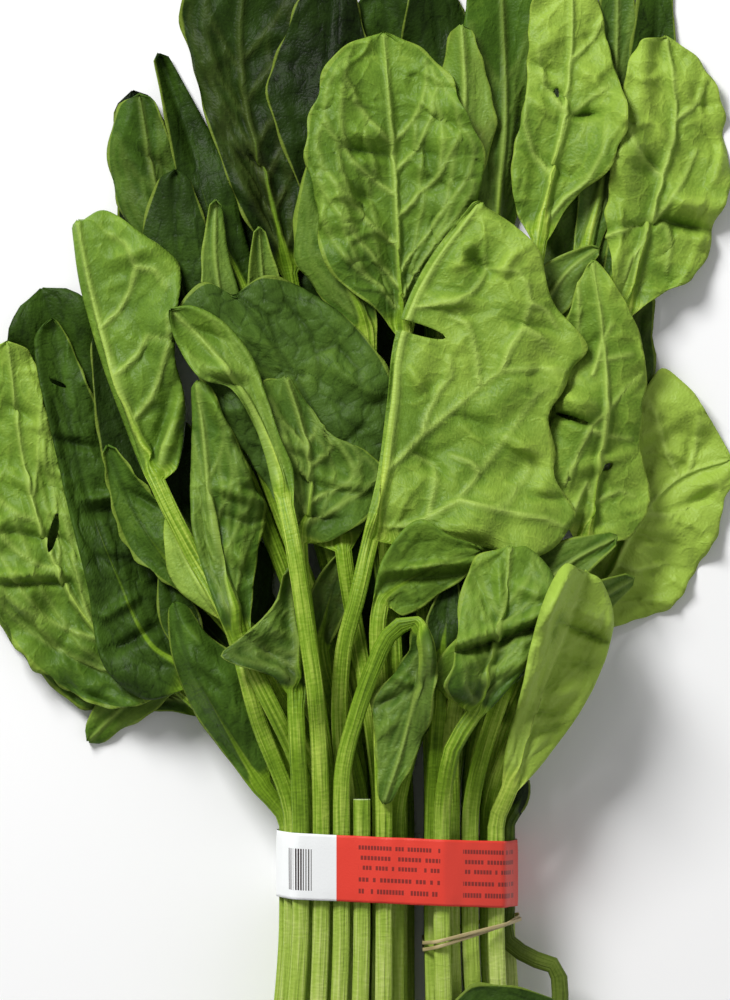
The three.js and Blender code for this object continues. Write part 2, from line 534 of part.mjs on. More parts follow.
// A leaf: the upper and the lower side share the knots of the two margins. Both sides are cut
// into the same triangles, and the two ends are closed flat.
function leafSolid(leaf, knots) {
  const places = [];
  const columns = knots[0].length;
  const around = 2 * columns - 2;
  for (const row of knots) {
    for (const k of row) places.push(k.x, k.y, k.z + k.lift + k.half);
    for (const k of row.slice(1, -1)) places.push(k.x, k.y, k.z + k.lift - k.half);
  }
  const top = (i, j) => i * around + j;
  const bottom = (i, j) => (j === 0 || j === columns - 1 ? top(i, j) : i * around + columns + j - 1);
  const faces = [];
  for (let i = 0; i + 1 < knots.length; i += 1) {
    for (let j = 0; j + 1 < columns; j += 1) {
      faces.push(top(i, j), top(i, j + 1), top(i + 1, j));
      faces.push(top(i, j + 1), top(i + 1, j + 1), top(i + 1, j));
      faces.push(bottom(i, j), bottom(i + 1, j), bottom(i, j + 1));
      faces.push(bottom(i, j + 1), bottom(i + 1, j), bottom(i + 1, j + 1));
    }
  }
  const last = knots.length - 1;
  for (let j = 0; j + 1 < columns; j += 1) {
    for (const [i, flip] of [[0, false], [last, true]]) {
      const quad = [top(i, j), bottom(i, j), bottom(i, j + 1), top(i, j + 1)];
      for (const tri of [[quad[0], quad[1], quad[2]], [quad[0], quad[2], quad[3]]]) {
        if (new Set(tri).size < 3) continue;
        faces.push(...(flip ? tri.reverse() : tri));
      }
    }
  }
  const [hue, depth, light] = [Math.sin(leaf.foot), Math.cos(leaf.foot), Math.sin(3 * leaf.foot)];
  const green = new THREE.Color(0x4f7f35).offsetHSL(0.015 * hue, 0.04 * depth, 0.03 * light);
  return meshOf(leaf.name, places, faces, green, 0.55);
}

// A tight loop round stalks: in each of the given number of directions, a line is pushed in
// until it touches the outermost stalk, and the loop's corners are where the lines meet.
function loopRound(stalks, spread, clearance, facets) {
  const lines = [];
  for (let i = 0; i < facets; i += 1) {
    const angle = 2 * Math.PI * (i + 0.5) / facets - Math.PI / 2 - Math.PI / facets;
    const [c, s] = [Math.cos(angle), Math.sin(angle)];
    const stalkRadius = Math.hypot(STALK.wide / 2 * c, STALK.thick / 2 * s);
    const outermost = Math.max(...stalks.map(([x, z]) => x * spread * c + z * s));
    lines.push([c, s, outermost + stalkRadius + clearance]);
  }
  return lines.map(([c, s, h], i) => {
    const [c2, s2, h2] = lines[(i + 1) % facets];
    const area = c * s2 - s * c2;
    return [(h * s2 - h2 * s) / area, (h2 * c - h * c2) / area];
  });
}

function paperBand(stalks) {
  const inner = loopRound(stalks, 1, PAPER.slack, PAPER.facets);
  const outer = loopRound(stalks, 1, PAPER.slack + PAPER.thick, PAPER.facets);
  const half = PAPER.width / 2;
  const rings = outer.map(([x, z], i) => {
    const [xi, zi] = inner[i];
    const [far, near] = [PAPER.slope * x + half, PAPER.slope * x - half];
    return [[x, far, z], [x, near, z], [xi, near, zi], [xi, far, zi]];
  });
  return solid('paper_band', rings, 0xe5483b, 0.7, true);
}

// The rubber band goes round twice. Its two turns twist about each other by half a turn, so the
// end of the second meets the start of the first. They cross on the side that faces the other
// stalks.
function rubberBand(stalks) {
  const loop = loopRound(stalks, 1.02, 0, RUBBER.facets);
  const n = RUBBER.facets;
  const rings = [];
  for (let k = 0; k < 2 * n; k += 1) {
    const [before, here, after] = [k + n - 1, k, k + 1].map((i) => loop[i % n]);
    const run = apart(before, after);
    const [nx, nz] = [(after[1] - before[1]) / run, -(after[0] - before[0]) / run];
    const twist = Math.PI * (k / n + 0.25);
    const swing = Math.cos(twist) ** 3;
    const out = RUBBER.slack + RUBBER.thick / 2 + RUBBER.apart * (Math.abs(swing) + swing);
    const x = here[0] + nx * out;
    const z = here[1] + nz * out;
    const y = RUBBER.middle + RUBBER.slope * x + RUBBER.spread * Math.sin(twist);
    const [w, t] = [RUBBER.wide / 2, RUBBER.thick / 2];
    rings.push([[t, -w], [-t, -w], [-t, w], [t, w]].map(([r, v]) => [x + nx * r, y + v, z + nz * r]));
  }
  return solid('rubber_band', rings, 0xb8a57a, 0.6, true);
}

// ---------- put together ----------
const bunch = new THREE.Group();
bunch.name = 'spinach_bunch';
let rowNow = 0;
for (const leaf of LEAVES) {
  if (leaf.row !== rowNow) {
    underRow.set(pile);
    rowNow = leaf.row;
  }
  const knots = knotsOf(leaf);
  settle(leaf, knots, ROW.lowest + ROW.pitch * leaf.row);
  addToPile(knots);
  bunch.add(leafSolid(leaf, knots));
}
const seated = LEAVES.filter((leaf) => leaf.slot !== undefined);
const stalks = seated.map((leaf) => [leaf.slot, ROW.lowest + ROW.pitch * leaf.row]);
bunch.add(paperBand(stalks));
bunch.add(rubberBand(stalks.filter(([x]) => x > RUBBER.firstStalk)));

export default bunch;
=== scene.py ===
"""A tied bunch of fresh spinach, lying on its side, with a paper band and a rubber band.

Lengths in this file are millimetres until a mesh is made. +Y runs along the stalks to the leaf
tips, +Z is up, and the origin is the middle of the paper band's flat underside.
"""

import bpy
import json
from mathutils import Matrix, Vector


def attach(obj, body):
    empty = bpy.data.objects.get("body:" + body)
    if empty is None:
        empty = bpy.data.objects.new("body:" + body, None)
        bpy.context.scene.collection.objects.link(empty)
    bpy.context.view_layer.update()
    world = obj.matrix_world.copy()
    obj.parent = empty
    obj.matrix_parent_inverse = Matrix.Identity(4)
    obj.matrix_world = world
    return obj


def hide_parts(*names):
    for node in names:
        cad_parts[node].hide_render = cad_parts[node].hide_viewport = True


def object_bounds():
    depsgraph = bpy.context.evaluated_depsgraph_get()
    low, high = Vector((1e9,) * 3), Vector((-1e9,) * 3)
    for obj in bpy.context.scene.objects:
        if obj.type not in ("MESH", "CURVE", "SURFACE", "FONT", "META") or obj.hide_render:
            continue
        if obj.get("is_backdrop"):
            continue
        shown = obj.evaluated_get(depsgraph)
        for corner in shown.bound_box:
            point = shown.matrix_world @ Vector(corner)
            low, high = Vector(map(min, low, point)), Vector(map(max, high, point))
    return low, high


bl_info = {
    "name": "Spinach Bunch",
    "version": (1, 0, 0),
    "blender": (4, 5, 0),
    "location": "3D View > Sidebar > Spinach",
    "description": "A tied bunch of fresh spinach with its two bands, laid on a floor",
    "category": "Object",
}

import functools
import json
import math

import bpy
import numpy as np
from mathutils import Vector

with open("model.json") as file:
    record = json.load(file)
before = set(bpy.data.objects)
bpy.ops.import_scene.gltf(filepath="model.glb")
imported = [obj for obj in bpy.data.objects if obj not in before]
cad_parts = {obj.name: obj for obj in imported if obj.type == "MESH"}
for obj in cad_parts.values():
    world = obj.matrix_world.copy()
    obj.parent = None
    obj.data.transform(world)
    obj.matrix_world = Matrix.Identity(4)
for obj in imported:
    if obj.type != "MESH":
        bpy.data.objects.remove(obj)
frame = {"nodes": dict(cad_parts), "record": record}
CAD_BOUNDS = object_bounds()
MM = 0.001

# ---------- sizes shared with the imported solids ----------
STALK_WIDE, STALK_THICK = 5.0, 4.7     # a usual stalk's section
ROW_PITCH, ROW_LOWEST = 5.75, 3.55     # rows of stalks inside the band, from middle to middle
HELD = 12.5                            # the stalks are straight this far either side of the origin
FAN = 46                               # up to here the stalks of one row lie side by side
FOOT_SPREAD = 1.12                     # the cut ends stand this much wider apart
STEP = 26                              # longest step between two stations along a stalk
BENT_SHARE = 0.6                       # and its share where the stalk passes given points
STATION, FEWEST, MOST = 10, 4, 8       # steps of a blade: a usual one, and how many there may be
TIP_HALF, LEAST_HALF = 1.2, 1          # half width at the tip, and the least one before it
WIDE_LEAF = 34                         # a leaf wider than this has more knots across
KNOTS_WIDE, KNOTS_NARROW = (1, 0.66, 0.33, 0), (1, 0.5, 0)   # shares of the half width
SAME_PLACE = 0.06                      # a corner this near to a knot stands at it

# ---------- the leaves ----------
# row, slot   the seat of the stalk inside the band: its row from the table up, and its X
# foot        Y of the stalk's cut end
# via         points that the stalk passes between the band and the blade
# rib         points that the midrib passes, from the blade's base to its tip
# left, right the two margins from base to tip: points, or distances from the midrib at even steps
# cup         height of the left and of the right margin over the midrib
LEAVES = [
    # lowest row: leaves that show only at the edges and from below
    dict(name="leaf_under_left", row=0, slot=-19.8, foot=-70,
         rib=[(-42, 66), (-66, 96), (-90, 130), (-107, 172)], left=[3, 16, 20, 18, 14],
         right=[3, 18, 22, 20, 12], cup=(1, -2)),
    dict(name="leaf_black_tip", row=0, slot=-14.3, foot=-66,
         rib=[(-48, 138), (-60, 170), (-72, 202), (-80, 231)], left=[3, 14, 16, 14, 6],
         right=[3, 14, 15, 11, 5], cup=(-2, 2)),
    dict(name="leaf_under_middle_left", row=0, slot=-8.8, foot=-72,
         rib=[(-22, 110), (-34, 145), (-44, 180), (-50, 212)], left=[3, 20, 26, 20, 4],
         right=[3, 20, 26, 20, 4], cup=(-3, 3)),
    dict(name="leaf_under_middle", row=0, slot=-3.3, foot=-62,
         rib=[(-1, 125), (0, 165), (-1, 205), (-5, 263)], left=[3, 22, 28, 23, 8],
         right=[3, 22, 28, 20, 9], cup=(3, -2)),
    dict(name="leaf_back_dark", row=0, slot=9.4, foot=-69,
         rib=[(10, 160), (12, 196), (12, 230), (9, 264)], left=[3, 14, 19, 17, 6],
         right=[3, 15, 20, 18, 6], cup=(2, 2)),
    dict(name="leaf_under_right", row=0, slot=14.9, foot=-65,
         rib=[(36, 105), (50, 135), (62, 165), (70, 192)], left=[3, 22, 26, 20, 4],
         right=[3, 17, 20, 15, 4], cup=(-2, 3)),
    dict(name="leaf_under_right_low", row=0, slot=20.4, foot=-60,
         rib=[(36, 50), (46, 66), (59, 83), (72, 100)], left=[3, 15, 19, 15, 3], right=[3, 8, 9, 8, 3],
         cup=(2, -1)),
    # second row
    dict(name="leaf_low_left_long", row=1, slot=-31, foot=-66,
         rib=[(-58, 46), (-78, 57), (-99, 67), (-124, 84)],
         left=[(-70, 46), (-92, 46), (-106, 56), (-119, 71)],
         right=[(-64, 60), (-82, 84), (-104, 104), (-122, 108)], cup=(-3, 2)),
    dict(name="leaf_low_left_tip", row=1, slot=-25.5, foot=-60, via=[(-42, 42)],
         rib=[(-58, 56), (-70, 56), (-82, 48), (-93, 37)], left=[3, 6, 7, 6, 3],
         right=[3, 9, 10, 7, 3], cup=(-2, -2)),
    dict(name="leaf_under_left_low", row=1, slot=-20, foot=-64,
         rib=[(-38, 48), (-51, 64), (-68, 81), (-88, 95)], left=[3, 12, 16, 14, 3],
         right=[4, 22, 30, 22, 5], cup=(-1, 3)),
    dict(name="leaf_olive_top_left", row=1, slot=-14.5, foot=-63,
         rib=[(-54, 160), (-64, 180), (-73, 202), (-78, 230)],
         left=[(-66, 172), (-82, 192), (-87, 210), (-84, 226)], right=[3, 8, 11, 10, 4], cup=(-3, 2)),
    dict(name="leaf_pointed_top_left", row=1, slot=-9, foot=-73,
         rib=[(-44, 165), (-56, 192), (-64, 218), (-72, 242)], left=[3, 6, 7, 6, 2],
         right=[3, 8, 10, 7, 2], cup=(2, -2)),
    dict(name="leaf_top_left_big", row=1, slot=-3.5, foot=-60,
         rib=[(-33, 176), (-39, 200), (-46, 226), (-48, 250), (-45, 272)],
         left=[(-46, 192), (-55, 214), (-62, 238), (-65, 257), (-57, 269)],
         right=[(-22, 190), (-19, 212), (-20, 238), (-24, 258), (-34, 269)], cup=(-3, -3)),
    dict(name="leaf_under_centre_low", row=1, slot=1.6, foot=-74,
         rib=[(-1, 52), (-2, 74), (0, 98), (4, 120)], left=[3, 17, 22, 18, 4],
         right=[3, 20, 27, 23, 5], cup=(-2, 3)),
    dict(name="leaf_top_curled", row=1, slot=9.4, foot=-61,
         rib=[(26, 170), (29, 198), (31, 226), (30, 268)], left=[3, 9, 13, 13, 9],
         right=[3, 9, 12, 11, 9], cup=(5, 0)),
    dict(name="leaf_behind_right", row=1, slot=14.9, foot=-65,
         rib=[(40, 150), (48, 170), (55, 190), (60, 210)], left=[3, 10, 13, 11, 4],
         right=[3, 10, 12, 10, 4], cup=(-2, 2)),
    dict(name="leaf_top_grey", row=1, slot=20.4, foot=-70,
         rib=[(54, 178), (60, 204), (64, 234), (65, 266)], left=[3, 8, 10, 9, 4],
         right=[3, 7, 9, 8, 4], cup=(2, 2)),
    dict(name="leaf_corner_tip", row=1, slot=25.9, foot=-71,
         rib=[(62, 168), (70, 200), (75, 232), (77, 266)], left=[3, 7, 9, 8, 5], right=[3, 7, 8, 8, 4],
         cup=(2, 2)),
    dict(name="leaf_right_light", row=1, slot=31.4, foot=-67,
         rib=[(57, 72), (64, 90), (72, 105), (84, 116), (99, 121)],
         left=[(55, 88), (61, 112), (69, 138), (77, 147), (87, 140), (95, 129)],
         right=[(64, 71), (78, 76), (88, 88), (95, 103), (99, 113)], cup=(2, -4)),
    # third row
    dict(name="leaf_far_left", row=2, slot=-33.5, foot=-69,
         rib=[(-66, 54), (-85, 64), (-100, 84), (-111, 114), (-117, 156)],
         left=[(-82, 47), (-99, 52), (-117, 70), (-131, 102), (-131, 138), (-124, 153)],
         right=[(-72, 64), (-82, 80), (-94, 100), (-102, 122), (-106, 140), (-111, 153)],
         cup=(-4, -3)),
    dict(name="leaf_left_dark_rolled", row=2, slot=-28, foot=-74,
         rib=[(-58, 56), (-74, 66), (-84, 86), (-94, 112), (-100, 138), (-104, 163)],
         left=[(-76, 50), (-88, 60), (-93, 84), (-99, 108), (-104, 130), (-109, 156)],
         right=[(-62, 58), (-65, 72), (-71, 94), (-79, 114), (-90, 136), (-99, 157)], cup=(-4, -3)),
    dict(name="leaf_left_shadow", row=2, slot=-22.5, foot=-62,
         rib=[(-56, 88), (-70, 112), (-81, 136), (-89, 160)], left=[3, 11, 13, 11, 4],
         right=[3, 13, 15, 13, 4], cup=(2, 2)),
    dict(name="leaf_round_shade", row=2, slot=-17, foot=-66,
         rib=[(-58, 150), (-64, 168), (-67, 188), (-67, 207)], left=[3, 11, 13, 12, 4],
         right=[3, 11, 13, 11, 4], cup=(-3, -2)),
    dict(name="leaf_upright_light", row=2, slot=-11.5, foot=-69,
         rib=[(-48, 142), (-52, 160), (-55, 180), (-55, 198)], left=[3, 5, 6, 5, 1.5],
         right=[3, 5, 6, 4, 1.5], cup=(2, 2)),
    dict(name="leaf_small_upright", row=2, slot=-6, foot=-71,
         rib=[(-34, 146), (-39, 160), (-41, 175), (-42, 190)], left=[3, 6, 6, 5, 1.5],
         right=[3, 6, 7, 6, 1.5], cup=(3, 2)),
    dict(name="leaf_top_dark", row=2, slot=-0.5, foot=-68,
         rib=[(-17, 182), (-21, 205), (-22, 232), (-20, 264)], left=[3, 13, 18, 16, 8],
         right=[3, 13, 17, 14, 6], cup=(2, -2)),
    dict(name="leaf_back_pale", row=2, slot=9.4, foot=-72,
         rib=[(14, 190), (17, 208), (19, 230), (18, 250)], left=[3, 9, 11, 9, 3],
         right=[3, 9, 10, 9, 3], cup=(-2, 2)),
    dict(name="leaf_pointed_right", row=2, slot=14.9, foot=-64,
         rib=[(36, 158), (43, 168), (50, 177), (59, 184)], left=[3, 7, 8, 5, 1.5],
         right=[3, 6, 7, 5, 1.5], cup=(2, 2)),
    dict(name="leaf_top_right", row=2, slot=20.4, foot=-68,
         rib=[(66, 164), (72, 185), (78, 205), (82, 226), (79, 247)],
         left=[(63, 176), (61, 192), (64, 213), (67, 233), (70, 245)],
         right=[(77, 170), (88, 176), (92.5, 190), (98.5, 203), (97, 222), (90, 239)], cup=(-4, -3)),
    dict(name="leaf_right_dark", row=2, slot=25.9, foot=-73,
         rib=[(54, 96), (58, 115), (61, 135), (60, 158), (57, 180)],
         left=[(46, 108), (44, 125), (46, 145), (50, 165)],
         right=[(69, 99), (74, 110), (71, 125), (73, 145), (70, 161), (64, 172)], cup=(-2, -3)),
    dict(name="leaf_right_stub", row=2, slot=31.4, foot=-62,
         foot_via=[(31.2, -21), (38, -26.5), (46, -30), (47, -43)], foot_x=44,
         rib=[(33, 16), (35.5, 20), (36.5, 23), (36.5, 27)], left=[2.5, 3, 3, 1.5],
         right=[2.5, 2.5, 2, 1.5], cup=(0, 0)),
    # fourth row
    dict(name="leaf_left_point_down", row=3, slot=-28, foot=-72, via=[(-46, 50)],
         rib=[(-58, 60), (-64, 70), (-68, 82), (-70, 94)], left=[3, 5, 6, 5, 1.5],
         right=[3, 5, 6, 5, 1.5], cup=(-3, 1.5)),
    dict(name="leaf_left_ruffled", row=3, slot=-22.5, foot=-61, via=[(-41, 58)],
         rib=[(-58, 80), (-70, 92), (-80, 107), (-87, 125)], left=[3, 6, 7, 6, 2],
         right=[3, 9, 10, 8, 2], cup=(2, 4)),
    dict(name="leaf_left_lobe", row=3, slot=-17, foot=-68, via=[(-32, 58)],
         rib=[(-52, 76), (-60, 85), (-65, 94), (-68, 105)], left=[3, 5, 7, 6, 2],
         right=[3, 5, 6, 5, 2], cup=(-2, -2)),
    dict(name="leaf_grey_crumpled", row=3, slot=-11.5, foot=-66,
         rib=[(-24, 64), (-22, 76), (-18, 88), (-11, 98)], left=[3, 5, 6, 5, 1.5],
         right=[3, 5, 6, 5, 2], cup=(3, 3)),
    dict(name="leaf_top_middle_behind", row=3, slot=-0.5, foot=-60,
         rib=[(-10, 158), (-17, 176), (-22, 194), (-25, 213)], left=[3, 11, 13, 10, 2],
         right=[3, 8, 9, 8, 2], cup=(-2, 2)),
    dict(name="leaf_top_middle", row=3, slot=9.4, foot=-67,
         rib=[(1, 158), (-0.5, 178), (-1.5, 200), (-3, 223), (-5, 248)],
         left=[(-8, 166), (-20, 176), (-26, 194), (-28, 212), (-25, 230), (-16, 244)],
         right=[(8, 172), (19, 186), (25, 203), (24, 216), (17, 230), (6, 243)], cup=(-3, -4)),
    dict(name="leaf_dark_round", row=3, slot=-6, foot=-73,
         rib=[(-17, 94), (-19, 112), (-24, 130), (-34, 150), (-49, 170)],
         left=[(-29, 98), (-40, 112), (-52, 132), (-61, 150), (-66, 164), (-58, 173)],
         right=[(-8, 106), (-2, 120), (-1, 138), (-8, 154), (-24, 170), (-40, 175)], cup=(-4, -3)),
    dict(name="leaf_top_bright", row=3, slot=14.9, foot=-71,
         rib=[(41, 186), (45, 205), (49, 224), (51, 246), (51, 271)],
         left=[(33, 199), (34, 215), (38, 236), (39, 256)],
         right=[(52, 199), (62, 208), (67, 222), (63, 242), (59, 257)], cup=(-4, -3)),
    dict(name="leaf_right_inner", row=3, slot=20.4, foot=-63,
         rib=[(33, 70), (41, 82), (51, 91), (64, 98)], left=[3, 8, 9, 7, 2], right=[3, 7, 8, 6, 2],
         cup=(-2, 2)),
    dict(name="leaf_right_low_inner", row=3, slot=25.9, foot=-70,
         rib=[(39, 52), (48, 66), (57, 78), (69, 86)], left=[3, 8, 9, 7, 2], right=[3, 7, 8, 6, 2],
         cup=(2, -2)),
    dict(name="leaf_left_edge", row=3, slot=-33.5, foot=-65,
         rib=[(-41, 24), (-49, 37), (-57, 51), (-64, 65), (-67, 79)], left=[3, 4, 5, 6, 6, 2],
         right=[3, 9, 14, 16, 12, 3], cup=(-3, -2)),
    # fifth row
    dict(name="leaf_left_bright", row=4, slot=-32, foot=-69, via=[(-42, 44), (-50, 72), (-62, 94)],
         rib=[(-72, 114), (-79, 132), (-86, 151), (-92, 172), (-96, 192)],
         left=[2.5, 3, 3, 3, 3, 3, 2],
         right=[(-66, 119), (-64, 137), (-67, 152), (-66, 166), (-66, 179), (-77, 188), (-88, 195)],
         cup=(-1, -5)),
    dict(name="leaf_left_folded_mid", row=4, slot=-26.5, foot=-63,
         rib=[(-47, 68), (-52, 86), (-56, 106), (-58, 127), (-60, 144)], left=[3, 5, 6, 6, 5, 3, 2],
         right=[3, 10, 15, 16, 13, 9, 3], cup=(-2, -5)),
    dict(name="leaf_hand_shaped", row=4, slot=-21, foot=-64, via=[(-26, 60)],
         rib=[(-30, 96), (-27, 107), (-27, 120), (-30, 133), (-34, 145)],
         left=[(-36, 106), (-38, 121), (-40, 135), (-41, 144)],
         right=[(-20, 97), (-10, 104), (-3, 114), (-10, 123), (-20, 128), (-28, 138)], cup=(-3, -3)),
    dict(name="leaf_centre_big", row=4, slot=-15.5, foot=-61, via=[(-18, 42), (-17, 64), (-13, 80)],
         rib=[(-9, 97), (-4.5, 115), (-1.5, 137), (1, 157), (9, 176), (24, 197)],
         left=[2.5, 2.5, 2.5, 2.5, 2.5, 2.5, 2],
         right=[(6, 95), (24, 94), (40, 92), (52, 101), (46, 115), (44, 131), (50, 146),
                 (54, 154), (47, 168), (40, 184)], cup=(-1, -6)),
    dict(name="leaf_strip_middle", row=4, slot=-1.5, foot=-68,
         rib=[(4, 40), (9, 49), (14, 58), (17, 67)], left=[3, 5, 6, 5, 1.5], right=[3, 5, 6, 5, 1.5],
         cup=(1, 1)),
    dict(name="leaf_dark_patch", row=4, slot=9.4, foot=-70,
         rib=[(12, 62), (13, 70), (14, 78), (15, 86)], left=[3, 5, 6, 5, 2], right=[3, 4, 5, 4, 2],
         cup=(1, 1)),
    dict(name="leaf_right_shaded", row=4, slot=14.9, foot=-64,
         rib=[(16, 50), (24, 57), (32, 65), (41, 76)], left=[(9, 58), (17, 69), (30, 78)],
         right=[(24, 50), (33, 58), (40, 68)], cup=(-2, -1)),
    dict(name="leaf_right_stalk", row=4, slot=20.4, foot=-60,
         rib=[(31, 56), (38, 66), (46, 76), (54, 84)], left=[3, 6, 7, 5, 2], right=[3, 6, 7, 5, 2],
         cup=(-2, 1)),
    # top row, and the leaves that lie over everything
    dict(name="leaf_mid_lobe", row=5, slot=-29.5, foot=-67, via=[(-30.5, 38)],
         rib=[(-31, 52), (-31, 64), (-32, 76), (-33, 89)],
         left=[(-38, 57), (-53, 63), (-45, 70), (-37, 79)], right=[3, 3, 3, 2], cup=(2, 0)),
    dict(name="leaf_centre_folded", row=5, slot=-5, foot=-71, via=[(-6, 50)],
         rib=[(-6, 78), (2, 85), (12, 90), (24, 94)], left=[(-5, 92), (5, 103), (15, 98)],
         right=[(1, 75), (11, 81), (21, 88)], cup=(-2, -3)),
    dict(name="stalk_cut_short", row=5, slot=-11.5, foot=-66, bare=21),
    dict(name="leaf_hanging_crumpled", row=5, slot=-17.5, foot=-67,
         via=[(-17, 30), (-13, 46), (-8, 60), (-3, 70)],
         rib=[(4, 73), (7, 64), (4, 50), (0, 35), (-5, 20)], left=[2.2, 3, 5, 6, 5, 2],
         right=[2.2, 4, 9, 12, 9, 2], cup=(-1, -2)),
    dict(name="leaf_rolled_mid", row=5, slot=-23.5, foot=-72, via=[(-25, 50), (-28, 72), (-31, 92)],
         rib=[(-34, 107), (-38, 122), (-45, 138), (-55, 152), (-68, 165)],
         left=[(-38, 117), (-43, 131), (-50, 142), (-59, 145), (-66, 155)],
         right=[(-32, 118), (-36, 128), (-40, 140), (-44, 151), (-52, 161), (-61, 166)], cup=(-4, -5)),
    dict(name="leaf_right_folded", row=5, slot=12, foot=-65, via=[(15, 36)],
         rib=[(21, 46), (26, 60), (29, 72), (31, 84), (32, 95)],
         left=[(13, 54), (15, 61), (16, 69), (18, 80), (22, 92)],
         right=[(29, 51), (38, 62), (44, 73), (46, 80), (44, 88), (37, 95)], cup=(-2, -3)),
    dict(name="leaf_right_pale_folded", row=4, slot=28, foot=-74,
         rib=[(32, 24), (37, 41), (43, 58), (49, 73), (54, 88)],
         left=[(31, 36), (35, 51), (38, 66), (42, 80), (48, 90)],
         right=[(43, 33), (53.5, 48), (60.5, 63), (62.5, 75), (59, 85)], cup=(-1, -1)),
    # a leaf caught between the cut ends
    dict(name="leaf_foot", row=5, foot=-84, stalk=[(9, -84), (9, -72)],
         rib=[(12, -56), (20, -46), (32, -41), (46, -40)], left=[3, 10, 9, 7, 2],
         right=[3, 7, 8, 7, 2], cup=(-2, -3)),
]

# ---------- how each leaf looks ----------
# face     which side of the blade is up: "under" has raised pale veins and is lighter, "upper"
#          has sunken veins with pillows between them
# tone     0 is the darkest green and 1 the lightest; the low tones of leaves deep in the
#          bunch are partly their own dark green and partly painted shade
# blue     how far the green goes towards a matt blue-green
# wave     height of the broad waves of the blade, and ruffle that of its margins
# turn     radius that the left and the right margin are folded under with; 0 is not folded
# pairs    pairs of side veins
# dry      share of withered brown
# base     what tone gains at the foot of the blade, fading to nothing at the tip; a loss there
#          is painted shade, where the blade's foot goes down among the other leaves
# fine     3 for the three largest, 2 for the others that lie open on top, 1 for those that show
#          in part, 0 for the rest
def look(face="under", tone=0.5, blue=0.0, wave=1.0, ruffle=0.8, turn=(0, 0), pairs=5, fine=1, dry=0.0,
         base=0.0):
    """How one leaf looks, with usual values for what is not given."""
    return dict(face=face, tone=tone, blue=blue, wave=wave, ruffle=ruffle, turn=turn,
                pairs=pairs, fine=fine, dry=dry, base=base)


